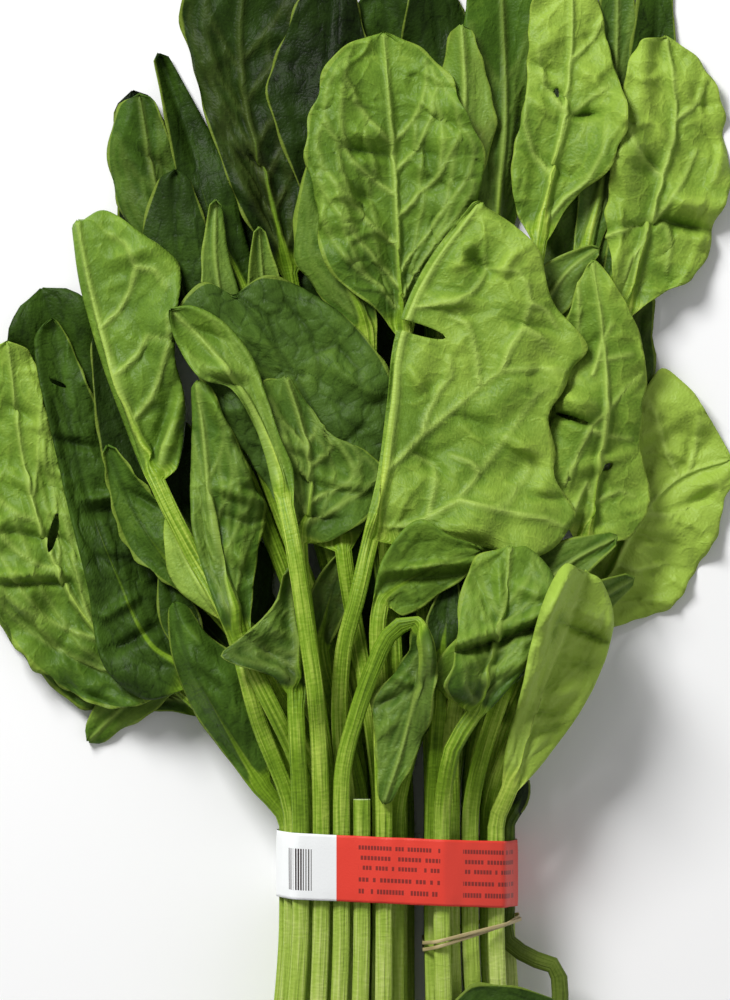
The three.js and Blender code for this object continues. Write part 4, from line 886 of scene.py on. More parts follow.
# ---------- meshes ----------
def make_object(name, vertices, faces, attributes, material):
    """A mesh object at the origin from millimetre vertices and faces of four corners."""
    used, faces = np.unique(faces, return_inverse=True)
    faces = faces.reshape(-1, 4)
    mesh = bpy.data.meshes.new(name)
    mesh.from_pydata((vertices[used] * MM).tolist(), [], faces.tolist())
    mesh.polygons.foreach_set("use_smooth", np.ones(len(faces), bool))
    for key, values in attributes.items():
        layer = mesh.attributes.new(key, "FLOAT_VECTOR", "POINT")
        layer.data.foreach_set("vector", values[used].astype(np.float32).ravel())
    mesh.materials.append(material)
    mesh.update()
    made = bpy.data.objects.new(name, mesh)
    bpy.context.scene.collection.objects.link(made)
    return made


def slab_faces(rows, columns, kept):
    """Faces of a closed slab from two grids of corners, the upper one first. Where a cell is not
    kept, both faces are left out and the edge round them gets a wall."""
    def number(i, j):
        """The number of a corner of the upper grid."""
        return i * columns + j
    i, j = np.nonzero(kept)
    a, b, c, d = number(i, j), number(i, j + 1), number(i + 1, j + 1), number(i + 1, j)
    below = rows * columns
    faces = [np.stack([a, b, c, d], 1), np.stack([a, d, c, b], 1) + below]
    padded = np.pad(kept, 1)
    for (di, dj), (p, q) in (((-1, 0), (b, a)), ((0, 1), (c, b)), ((1, 0), (d, c)), ((0, -1), (a, d))):
        open_edge = ~padded[i + 1 + di, j + 1 + dj]
        p, q = p[open_edge], q[open_edge]
        faces.append(np.stack([p, q, q + below, p + below], 1))
    return np.concatenate(faces)


# How fine a leaf's grid is, for each value of fine in LOOKS.
BLADE_STEP = {3: 0.66, 2: 0.95, 1: 1.75, 0: 2.8}    # millimetres between two rows of a blade
COLUMNS = {3: 85, 2: 57, 1: 33, 0: 23}              # points across a leaf


def fine_rows(plan, step):
    """Rows for the fine grid: a short first one behind the cut end, even steps along the stalk
    and shorter ones on the blade."""
    bounds = np.arange(plan.rows + 1)
    long = np.diff(plan.along(bounds))
    rows = [0.0, 0.35 / long[0]]
    for k in range(plan.rows):
        blade = k >= plan.blade_row and not plan.bare
        count = max(2, math.ceil(long[k] / (step if blade else 6.0)))
        part = k + np.arange(1, count + 1) / count
        rows += [r for r in part if r > rows[-1] + 0.02 / long[k]]
    if plan.bare:
        rows.insert(-1, plan.rows - 0.35 / long[-1])
    return np.array(rows)


# Relief of a blade. Heights and lengths are millimetres.
PILLOW_WIDE, PILLOW_UNDER, PILLOW_UPPER = 6.5, 1.3, 1.9     # pillows between the veins
QUILT_CELL, QUILT_UNDER, QUILT_UPPER = 6.0, -0.28, 0.36  # cells of the net of small veins
GRAIN_CELL, GRAIN_HIGH = 2.8, 0.10                      # the smallest cells
BROAD_LONG, BROAD_HIGH = 30, 1.8                        # the blade's broad waves
RIPPLE_LONG, RIPPLE_HIGH = 13, 0.8                      # shorter waves on them
CREASE_HIGH = 1.0                                       # sharp lines among the ripples
FRILL_LONG, FRILL_HIGH = 13, 1.3                        # up and down waves of the margins
FOLD_HIGH = 1.5                                         # factor on the heights in FOLDS
DRAWN_VEIN, MIDRIB = (0.85, 0.4), (1.3, 0.5)            # half widths at the two ends
VEIN_WIDE = 1.0                                         # half width of a vein's own ridge
# the second is the half width of the band of painted shade along a vein
LINE_WIDE, VEIN_SHADE_WIDE = 0.85, 3.2                        # what the material paints along a vein
STIFF_WIDE = 4.5                                        # creases fade this near the midrib
FULL_RELIEF = 22                                        # half width of a blade with full relief
TURNED = 2.6                                            # a folded margin's turn, in radians
TABLE = 0.02                                            # nothing lies lower than this


class Sheet:
    """The middle surface of one leaf on a fine grid. Rows run along the leaf, and columns run
    across it, from s = -1 at the left margin to s = 1 at the right one."""

    def __init__(self, leaf, number, settings):
        self.name, self.style = leaf["name"], LOOKS[leaf["name"]]
        self.blade_half, self.vein_high = settings.thickness / MM / 2, settings.vein_height / MM
        self.seed = 100 + number
        self.plan = Plan(leaf)
        self.rows = fine_rows(self.plan, BLADE_STEP[self.style["fine"]])
        self.middle, self.left, self.right, along_blade = self.plan.at(self.rows)
        self.distance = self.plan.along(self.rows)[:, None]
        self.on_stalk = along_blade < 0
        self.u = np.maximum(along_blade, 0)[:, None]
        self.s = np.linspace(-1, 1, COLUMNS[self.style["fine"]])[None, :]
        self.open_up = ease(self.u / 0.125)
        self.blade = self.open_up * ~self.on_stalk[:, None]
        half = [np.hypot(*(side - self.middle).T)[:, None] for side in (self.left, self.right)]
        self.reach = np.where(self.s < 0, *half)
        self.size = np.clip(self.reach.max() / FULL_RELIEF, 0.35, 1)
        self.lay_across()
        self.take_heights()
        self.find_veins()

    def side_waves(self, shift_left, shift_right, length, seed):
        """Waves along the two margins, each margin with its own."""
        along = self.distance + 0 * self.s
        return waves(along, np.where(self.s < 0, shift_left, shift_right), length, self.seed + seed)

    def lay_across(self):
        """Places in the plan: even angles round the stalk, and even shares of the blade's half
        width, which waves at the margin and closes at the tip like a quarter of a circle. A
        folded margin goes round a quarter circle and on, under the blade."""
        s, u, open_up, reach = self.s, self.u, self.open_up, self.reach
        share = mix(np.sin(np.abs(s) * math.pi / 2), np.abs(s) * (0.8 + 0.2 * s * s), open_up)
        margin = self.style["ruffle"] * self.side_waves(0.0, 400.0, 9.0, 7)
        margin = margin + self.side_waves(900.0, 1700.0, 24.0, 8)
        share = share * (1 + 0.05 * margin * open_up * np.abs(s) ** 3)
        if not self.plan.bare:
            to_tip = self.distance[-1] - self.distance
            round_off = np.minimum(to_tip / np.maximum(1.15 * reach[-1].max(), 2.0), 1)
            share = share * np.maximum(np.sqrt(1 - (1 - round_off) ** 2), 0.03)
        radius = np.where(s < 0, *self.style["turn"]) * open_up * ease((1 - u) * 12)
        radius = np.minimum(radius, reach * 0.45)
        flat = reach - radius
        skin = share * (flat + TURNED * radius)
        bend = np.clip((skin - flat) / np.maximum(radius, 1e-6), 0, TURNED)
        self.folded = radius > 1e-3
        across = np.where(self.folded, np.minimum(skin, flat) + radius * np.sin(bend), share * reach)
        self.drop = np.where(self.folded, radius * (1 - np.cos(bend)), 0)
        self.share, self.skin = share, np.where(self.folded, skin, across)
        edge = np.where((s < 0)[:, :, None], self.left[:, None], self.right[:, None])
        plane = mix(self.middle[:, None], edge, (across / reach)[:, :, None])
        self.x, self.y = plane[:, :, 0], plane[:, :, 1]

    def take_heights(self):
        """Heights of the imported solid, smooth along and across, less the turned margins' drop."""
        plan, s = self.plan, self.s[0]
        shares, knots = knot_heights(self.name, plan)
        held = np.zeros(plan.rows + 1, bool)
        if not plan.loose:
            held[:plan.first + 1] = True
        stations = plan.along(np.arange(plan.rows + 1))
        lengthwise = between(stations, knots, self.distance[:, 0], held)
        level = between(shares, lengthwise.T, np.clip(s * (0.8 + 0.2 * s ** 2), -1, 1)).T
        level[self.on_stalk] = lengthwise[self.on_stalk].mean(axis=1, keepdims=True)
        self.z = mix(lengthwise[:, len(shares) // 2][:, None], level, self.open_up) - self.drop

    def find_veins(self):
        """Distance to the nearest side vein and to the midrib, each with the vein's half width."""
        plan = self.plan
        self.veins = [(np.full(self.x.shape, 9.0), np.ones(self.x.shape))]
        if not plan.bare:
            lines = [(points, *DRAWN_VEIN) for points in VEINS.get(self.name, [])]
            if not lines:
                slim = np.clip(self.reach.max() / 24, 0.5, 1)
                lines = [(points, thick * slim, thin * slim)
                         for points, thick, thin in grown_veins(plan, self.style["pairs"], self.seed)]
            middle = plan.path.at(plan.base + plan.blade_long * np.linspace(0.02, 0.985, 30))
            self.veins = [vein_field(self.x, self.y, some) for some in (lines, [(middle, *MIDRIB)])]
        self.vein_far = np.min([far for far, _ in self.veins], axis=0)

    def vein_line(self, reach):
        """A bell across each vein, higher on the stronger ones, and 0 on the stalk."""
        bells = [np.clip(wide / DRAWN_VEIN[0], 0.3, 1.2) * np.exp(-(far / reach) ** 2)
                 for far, wide in self.veins]
        return np.max(bells, axis=0) * self.blade

    def add_relief(self):
        """Raise the blade: a pillow in each field between veins, the net's cells, folds, broad
        waves, creases where a wave crosses zero, and waves of the margins."""
        x, y, s, seed, style = self.x, self.y, self.s, self.seed, self.style
        under = style["face"] == "under"
        pillow = 1 - np.exp(-(self.vein_far / PILLOW_WIDE) ** 2)
        bent_x, bent_y = x + waves(x, y, 9, seed + 1), y + waves(x, y, 9, seed + 2)
        self.quilt = np.minimum(cell_edges(bent_x, bent_y, QUILT_CELL, seed) / 0.35, 1)
        grain = cell_edges(x + 0.5 * waves(x, y, 4, seed + 3), y, GRAIN_CELL, seed + 9)
        cells = (QUILT_UNDER if under else QUILT_UPPER) * self.quilt
        cells = cells + GRAIN_HIGH * np.minimum(grain / 0.4, 1)
        ridges = np.exp(-np.abs(waves(x, y, 27, seed + 20)) / 0.10)
        self.crease = ridges - 0.6 * np.exp(-np.abs(waves(x, y, 21, seed + 21)) / 0.08)
        self.folding = fold_relief(x, y, FOLDS.get(self.name, []))
        near_margin = np.abs(s) ** 2.2
        give = 1 - 0.9 * np.exp(-(self.veins[-1][0] / STIFF_WIDE) ** 2)
        relief = (PILLOW_UNDER if under else PILLOW_UPPER) * pillow + cells * give
        relief *= 1 - 0.4 * near_margin
        relief += FOLD_HIGH * self.folding / self.size
        ripple = RIPPLE_HIGH * waves(x, y, RIPPLE_LONG, seed + 5) + CREASE_HIGH * self.crease
        broad = BROAD_HIGH * waves(x, y, BROAD_LONG, seed + 4) * (0.35 + 0.65 * near_margin)
        relief += style["wave"] * (broad + ripple * give)
        frill = style["ruffle"] * FRILL_HIGH * s ** 4 * self.side_waves(50.0, 800.0, FRILL_LONG, 6)
        relief += np.where(self.folded, 0.2, 1) * frill
        self.z = self.z + self.blade * self.size * relief

    def half_thickness(self):
        """How far the upper and the lower skin lie from the middle surface: the blade, a half
        ellipse with six ribs for stalk and midrib, and the veins' ridges."""
        u, blade = self.u, self.blade
        stalk = self.on_stalk[:, None]
        rib_wide = np.where(stalk, STALK_WIDE / 2, 0.5 + 2.0 * (1 - u) ** 2.2)
        rib_high = np.where(stalk, STALK_THICK / 2, 0.22 + 2.13 * (1 - u) ** 3.2)
        self.side_way = np.clip(self.skin / rib_wide, 0, 1)
        ribs = 1 + 0.05 * np.cos(6 * np.arcsin(self.side_way) + 0.4) * (1 - self.side_way ** 4)
        rib = rib_high * np.sqrt(np.maximum(1 - self.side_way ** 2, 0)) * ribs
        ridge = self.vein_high * self.size * self.vein_line(VEIN_WIDE)
        thick = mix(0.05, self.blade_half, blade) * np.where(np.abs(self.s) > 0.999, 0.55, 1)
        if self.style["face"] == "under":
            on_top = mix(0.5, 0.85, self.open_up)
            return thick + rib * on_top + ridge, thick + rib * (1 - on_top) - 0.3 * ridge
        on_top = mix(0.5, 0.25, self.open_up)
        return thick + rib * on_top - 0.4 * ridge, thick + rib * (1 - on_top) + ridge

    def skins(self):
        """The two skins as grids of corners, after the leaf is laid on the pile."""
        up, down = self.half_thickness()
        along_way = np.stack([np.gradient(v, axis=0) for v in (self.x, self.y, self.z)], axis=2)
        across_way = np.stack([np.gradient(v, axis=1) for v in (self.x, self.y, self.z)], axis=2)
        normal = np.cross(across_way, along_way)
        normal /= np.linalg.norm(normal, axis=2, keepdims=True)
        fan = self.on_stalk & (self.y[:, self.y.shape[1] // 2] < FAN)
        lowest = np.minimum(self.z - down * np.maximum(normal[:, :, 2], 0), self.z - 0.1)
        lift = lift_needed(self.x, self.y, lowest, self.on_stalk, fan)
        surface = np.stack([self.x, self.y, self.z + lift], axis=2)
        top, bottom = surface + normal * up[:, :, None], surface - normal * down[:, :, None]
        bottom[:, :, 2] = np.maximum(bottom[:, :, 2], TABLE)
        add_to_pile(self.x, self.y, np.maximum(top[:, :, 2], surface[:, :, 2]))
        return top, bottom

    def tear(self, skins):
        """Cut the tears and holes, and draw their rims onto the ellipse's outline. Returns which
        cells of the grid are kept."""
        kept = np.ones((len(self.rows) - 1, self.s.size - 1), bool)
        for middle_x, middle_y, long, wide, turn in CUTS.get(self.name, []):
            c, w = math.cos(math.radians(turn)), math.sin(math.radians(turn))
            x, y = self.x - middle_x, self.y - middle_y
            px, py = x * c + y * w, y * c - x * w
            out = np.maximum(np.hypot(px / long, py / wide), 0.05)
            gone = (out[:-1, :-1] + out[1:, :-1] + out[:-1, 1:] + out[1:, 1:]) / 4 < 1
            kept &= ~gone
            padded = np.pad(gone, 1)
            round_it = np.stack([padded[:-1, :-1], padded[1:, :-1], padded[:-1, 1:], padded[1:, 1:]])
            rim = round_it.any(axis=0) & ~round_it.all(axis=0) & (out < 1.7)
            pull = np.where(rim, 1 / out - 1, 0)
            for side in skins:
                side[:, :, 0] += pull * (px * c - py * w)
                side[:, :, 1] += pull * (px * w + py * c)
        return kept

    def painted(self):
        """What the materials read at each corner, in threes."""
        s, u, style = self.s, self.u, self.style
        from_margin = np.where(self.folded, 9.0, (1 - np.minimum(self.share, 1)) * self.reach)
        from_margin = np.where(self.blade > 0.3, from_margin, 9.0)
        rib = ease(1 - self.side_way) * (1 - u) ** 1.5 * (self.side_way < 1)
        stalkness = np.clip(1 - self.open_up + rib, 0, 1)
        cut = np.zeros((len(self.rows), 1))
        cut[0] = 1
        if self.plan.bare:
            cut[-1] = 1
        across = mix(s * math.pi / 2 * 2.4, np.where(s < 0, -1, 1) * self.skin, self.open_up)
        triples = {
            # the vein's line, a wider band that the material paints as shade beside it, and the
            # distance from the margin
            "veins": (self.vein_line(LINE_WIDE), self.vein_line(VEIN_SHADE_WIDE), from_margin),
            # the net, and the fold and crease heights, which the material also paints as highlight on
            # ridges and shade in grooves
            "relief": (self.quilt, self.folding * self.blade, self.crease * self.blade),
            # tone with the painted shade of base towards the blade's foot, the stalk's share, and the
            # cut end
            "look": (style["tone"] + style["base"] * (1 - u) ** 1.5, stalkness, cut),
            "place": (across, self.distance, (self.seed % 89) * 7.0),
            "mood": (style["blue"], style["dry"], float(style["face"] == "under")),
        }
        painted = {}
        for key, three in triples.items():
            grid = np.stack(np.broadcast_arrays(*three, self.x)[:3], axis=2)
            painted[key] = np.concatenate([grid.reshape(-1, 3)] * 2)
        return painted


def build_leaf(leaf, number, settings, material):
    """One leaf as a closed slab between its two skins."""
    sheet = Sheet(leaf, number, settings)
    sheet.add_relief()
    top, bottom = sheet.skins()
    kept = sheet.tear((top, bottom))
    vertices = np.concatenate([top.reshape(-1, 3), bottom.reshape(-1, 3)])
    faces = slab_faces(*sheet.x.shape, kept)
    return make_object("fresh_" + leaf["name"], vertices, faces, sheet.painted(), material)


# ---------- the two bands ----------
PAPER_OUT = 0.75                       # from the outermost stalks to the middle of the paper
PAPER_HALF = 0.13                      # half of the paper's thickness
PAPER_SLOPE = -0.045                   # the paper's slant: what Y gains for each 1 in X
PAPER_WAVE = 0.10                      # height of the paper's shallow waves
RUBBER_SLACK, RUBBER_APART = 0.22, 0.35     # air under both turns, and the upper one's lift
RUBBER_SPREAD = 1.3                    # how far each turn swings from the middle line, in Y
RUBBER_MIDDLE, RUBBER_SLOPE = -24.4, 0.27   # the middle line's Y at X = 0, and its slant
RUBBER_FIRST = 5                       # the rubber band holds the stalks beyond this X
RUBBER_RINGS, RUBBER_CORNERS = 196, 12      # sections in one turn, and corners of a section
RED_FROM = -19                         # X where the red field of the paper starts, on top
BAR_PITCH = 0.78                       # from one dark bar of the white panel to the next
DASH_ROWS = (                          # rows of dashes: middle, half height and one dash's pitch
    (6.4, 0.62, 0.9), (3.4, 0.62, 1.0), (0.5, 0.62, 0.95), (-3.0, 0.62, 1.05), (-6.4, 0.7, 0.9))


def tight_loop(seats, apart, clearance, count):
    """Corners of a loop round stalks: in each of so many directions a line is pushed in until it
    touches the outermost stalk, and the corners are where neighbouring lines meet."""
    angle = 2 * math.pi * (np.arange(count) + 0.5) / count - math.pi / 2 - math.pi / count
    c, s = np.cos(angle), np.sin(angle)
    x, z = np.array(seats, float).T
    reach = (np.outer(c, x * apart) + np.outer(s, z)).max(axis=1)
    reach += np.hypot(STALK_WIDE / 2 * c, STALK_THICK / 2 * s) + clearance
    c2, s2, reach2 = np.roll(c, -1), np.roll(s, -1), np.roll(reach, -1)
    area = c * s2 - s * c2
    return np.stack([(reach * s2 - reach2 * s) / area, (reach2 * c - reach * c2) / area], axis=1)


def even_loop(corners, count, start_x):
    """The same loop in even steps, from the upper side's place at start_x, and the distances."""
    closed = np.concatenate([corners, corners[:1]])
    run = np.concatenate([[0], np.cumsum(np.hypot(*np.diff(closed, axis=0).T))])
    fine = np.linspace(0, run[-1], 4000, endpoint=False)
    x, z = np.interp(fine, run, closed[:, 0]), np.interp(fine, run, closed[:, 1])
    top = np.where(z > np.median(z), np.abs(x - start_x), np.inf).argmin()
    d = (fine[top] + np.arange(count) * run[-1] / count) % run[-1]
    points = np.stack([np.interp(d, run, closed[:, 0]), np.interp(d, run, closed[:, 1])], axis=1)
    return points, np.arange(count) * run[-1] / count, run[-1]


def ring_faces(rings, around):
    """Faces of a closed ring whose sections are closed too."""
    i, j = np.meshgrid(np.arange(rings), np.arange(around), indexing="ij")
    i2, j2 = (i + 1) % rings, (j + 1) % around
    corners = [i * around + j, i2 * around + j, i2 * around + j2, i * around + j2]
    return np.stack(corners, axis=2).reshape(-1, 4)


def outward(vertices, faces):
    """The faces, turned round if the volume that they close is negative."""
    a, b, c, d = (vertices[faces[:, k]] for k in range(4))
    volume = (np.cross(a, b) * c).sum() + (np.cross(a, c) * d).sum()
    return faces if volume > 0 else faces[:, ::-1]


def build_paper(seats, settings, material):
    """The paper band: the tight loop, swept across the band's width. The sheet's outer side
    stands out by shallow waves, most at its two edges, and the edges are rounded."""
    corners = tight_loop(seats, 1, PAPER_OUT, 240)
    loop, distance, total = even_loop(corners, 330, RED_FROM)
    way = np.roll(loop, -1, axis=0) - np.roll(loop, 1, axis=0)
    way /= np.hypot(*way.T)[:, None]
    normal = np.stack([way[:, 1], -way[:, 0]], axis=1)
    centre = loop.mean(axis=0)
    normal *= np.sign(((loop - centre) * normal).sum(axis=1))[:, None]
    v = np.linspace(-1, 1, 25)
    # the waves are read on a circle, so that they meet where the loop closes
    angle = 2 * math.pi * distance[:, None] / total
    gx, gy = 34 * np.cos(angle), 34 * np.sin(angle)
    crease = PAPER_WAVE * waves(gx, gy + v * 4, 11, 71)
    crease += PAPER_WAVE * np.abs(v) ** 3 * waves(gx, gy, 7, 72)
    side_y = v * settings.paper_width / MM / 2 * (1 + 0.006 * waves(gx, gy, 20, 73))
    parts = []
    for half, order in ((PAPER_HALF, 1), (-PAPER_HALF, -1)):
        out = (crease + half * np.minimum(1, 3 * (1.02 - np.abs(v))))[:, ::order]
        place = loop[:, None] + normal[:, None] * out[:, :, None]
        y = side_y[:, ::order] + PAPER_SLOPE * loop[:, :1]
        parts.append(np.stack([place[:, :, 0], y, np.maximum(place[:, :, 1], 0.03)], axis=2))
    rings = np.concatenate(parts, axis=1)
    vertices = rings.reshape(-1, 3)
    faces = outward(vertices, ring_faces(len(loop), rings.shape[1]))
    going = np.sign(way[0, 0])
    unrolled = np.where(distance > total / 2, distance - total, distance) * going
    across = np.concatenate([side_y, side_y[:, ::-1]], axis=1)
    outside = np.concatenate([np.ones_like(side_y), np.zeros_like(side_y)], axis=1)
    printed = np.stack([unrolled[:, None] + 0 * across + RED_FROM, across, outside], axis=2)
    return make_object("band_of_paper", vertices, faces, {"print": printed.reshape(-1, 3)}, material)


def build_rubber(seats, settings, material):
    """The rubber band: two turns round the stalks of the right half, which twist about each
    other by half a turn. The section is a rounded rectangle."""
    n = RUBBER_RINGS
    wide, thick = settings.rubber_width / MM, settings.rubber_thickness / MM
    loop, _, _ = even_loop(tight_loop(seats, 1.02, 0, 200), n, 30)
    before, after = np.roll(loop, 1, axis=0), np.roll(loop, -1, axis=0)
    way = after - before
    way /= np.hypot(*way.T)[:, None]
    normal = np.stack([way[:, 1], -way[:, 0]], axis=1)
    normal *= np.sign(((loop - loop.mean(axis=0)) * normal).sum(axis=1))[:, None]
    left_end = loop[:, 0].argmin()
    k = np.arange(2 * n)
    twist = math.pi * ((k - left_end) / n + 0.5)
    swing = np.cos(twist) ** 3
    out = RUBBER_SLACK + thick / 2 + RUBBER_APART * (np.abs(swing) + swing)
    place = loop[k % n] + normal[k % n] * out[:, None]
    y = RUBBER_MIDDLE + RUBBER_SLOPE * place[:, 0] + RUBBER_SPREAD * np.sin(twist)
    angle = 2 * math.pi * np.arange(RUBBER_CORNERS) / RUBBER_CORNERS
    round_x = np.sign(np.cos(angle)) * np.abs(np.cos(angle)) ** 0.6 * thick / 2
    round_y = np.sign(np.sin(angle)) * np.abs(np.sin(angle)) ** 0.6 * wide / 2
    shape = normal[k % n][:, None] * round_x[None, :, None]
    rings = np.stack([place[:, :1] + shape[:, :, 0], y[:, None] + round_y[None, :],
                      place[:, 1:] + shape[:, :, 1]], axis=2)
    rings[:, :, 2] = np.maximum(rings[:, :, 2], TABLE)
    vertices = rings.reshape(-1, 3)
    faces = outward(vertices, ring_faces(2 * n, RUBBER_CORNERS))
    run = np.stack(np.broadcast_arrays(k[:, None] * 0.9, angle, 0.0), axis=2)
    return make_object("band_of_rubber", vertices, faces, {"run": run.reshape(-1, 3)}, material)


# ---------- materials ----------
def linear(colour):
    """An sRGB hex colour as linear red, green and blue, with alpha 1."""
    parts = [int(colour[k:k + 2], 16) / 255 for k in (1, 3, 5)]
    return tuple(p / 12.92 if p <= 0.04045 else ((p + 0.055) / 1.055) ** 2.4 for p in parts) + (1.0,)


# Short words for kinds of node: the type, the inputs in the order in which they are given, the
# output that is read, and the settings that stay the same.
WORDS = {
    "times": ("Math", (0, 1), 0, {"operation": "MULTIPLY"}),
    "plus": ("Math", (0, 1), 0, {"operation": "ADD"}),
    "over": ("Math", (0, 1), 0, {"operation": "DIVIDE"}),
    "above": ("Math", (0, 1), 0, {"operation": "GREATER_THAN"}),
    "most": ("Math", (0, 1), 0, {"operation": "MAXIMUM"}),
    "floor": ("Math", (0,), 0, {"operation": "FLOOR"}),
    "remainder": ("Math", (0,), 0, {"operation": "FRACT"}),
    "stretch": ("VectorMath", (0, 1), 0, {"operation": "MULTIPLY"}),
    "combine": ("CombineXYZ", (0, 1, 2), 0, {}),
    "separate": ("SeparateXYZ", (0,), 0, {}),
    "attribute": ("Attribute", (), 1, {}),
    "object place": ("TexCoord", (), 3, {}),
    "noise": ("TexNoise", ("Vector", "Scale", "Detail", "Distortion"), 0, {}),
    "chance": ("TexWhiteNoise", ("Vector",), 0, {"noise_dimensions": "3D"}),
    "fade": ("MapRange", (0, 1, 2, 3, 4), 0, {"interpolation_type": "SMOOTHSTEP"}),
    "blend": ("Mix", (0, 6, 7), 2, {"data_type": "RGBA"}),
    "ramp": ("ValToRGB", (0,), 0, {}),
    "bump": ("Bump", ("Height", "Strength", "Distance"), 0, {}),
    "surface": ("BsdfPrincipled",
                ("Base Color", "Roughness", "IOR", "Normal", "Specular IOR Level"), 0, {}),
    "glow": ("BsdfTranslucent", ("Color", "Normal"), 0, {}),
    "both": ("MixShader", (0, 1, 2), 0, {}),
}


def add(tree, word, *inputs, stops=(), **settings):
    """Add a node with its settings, link or set its inputs, and return the output that is read."""
    kind, order, output, fixed = WORDS[word]
    node = tree.nodes.new("ShaderNode" + kind)
    for key, value in {**fixed, **settings}.items():
        setattr(node, key, value)
    for key, value in zip(order, inputs):
        if isinstance(value, bpy.types.NodeSocket):
            tree.links.new(value, node.inputs[key])
        else:
            node.inputs[key].default_value = value
    for number, (place, colour) in enumerate(stops):
        elements = node.color_ramp.elements
        element = elements[number] if number < len(elements) else elements.new(place)
        element.position, element.color = place, linear(colour)
    return node.outputs[output]


def numbers(tree, name):
    """The three numbers of a point attribute, and the vector itself."""
    vector = add(tree, "attribute", attribute_name=name)
    return [*add(tree, "separate", vector).node.outputs, vector]


def new_material(name):
    """An empty material and a short way to add nodes to it."""
    material = bpy.data.materials.new(name)
    material.use_nodes = True
    material.node_tree.nodes.clear()
    return material, functools.partial(add, material.node_tree)


def finish_material(material, shader):
    """Link the shader to the material's surface."""
    end = material.node_tree.nodes.new("ShaderNodeOutputMaterial")
    material.node_tree.links.new(shader, end.inputs["Surface"])
    return material


LIGHT_THROUGH = 0.16        # share of a blade's light that comes through it


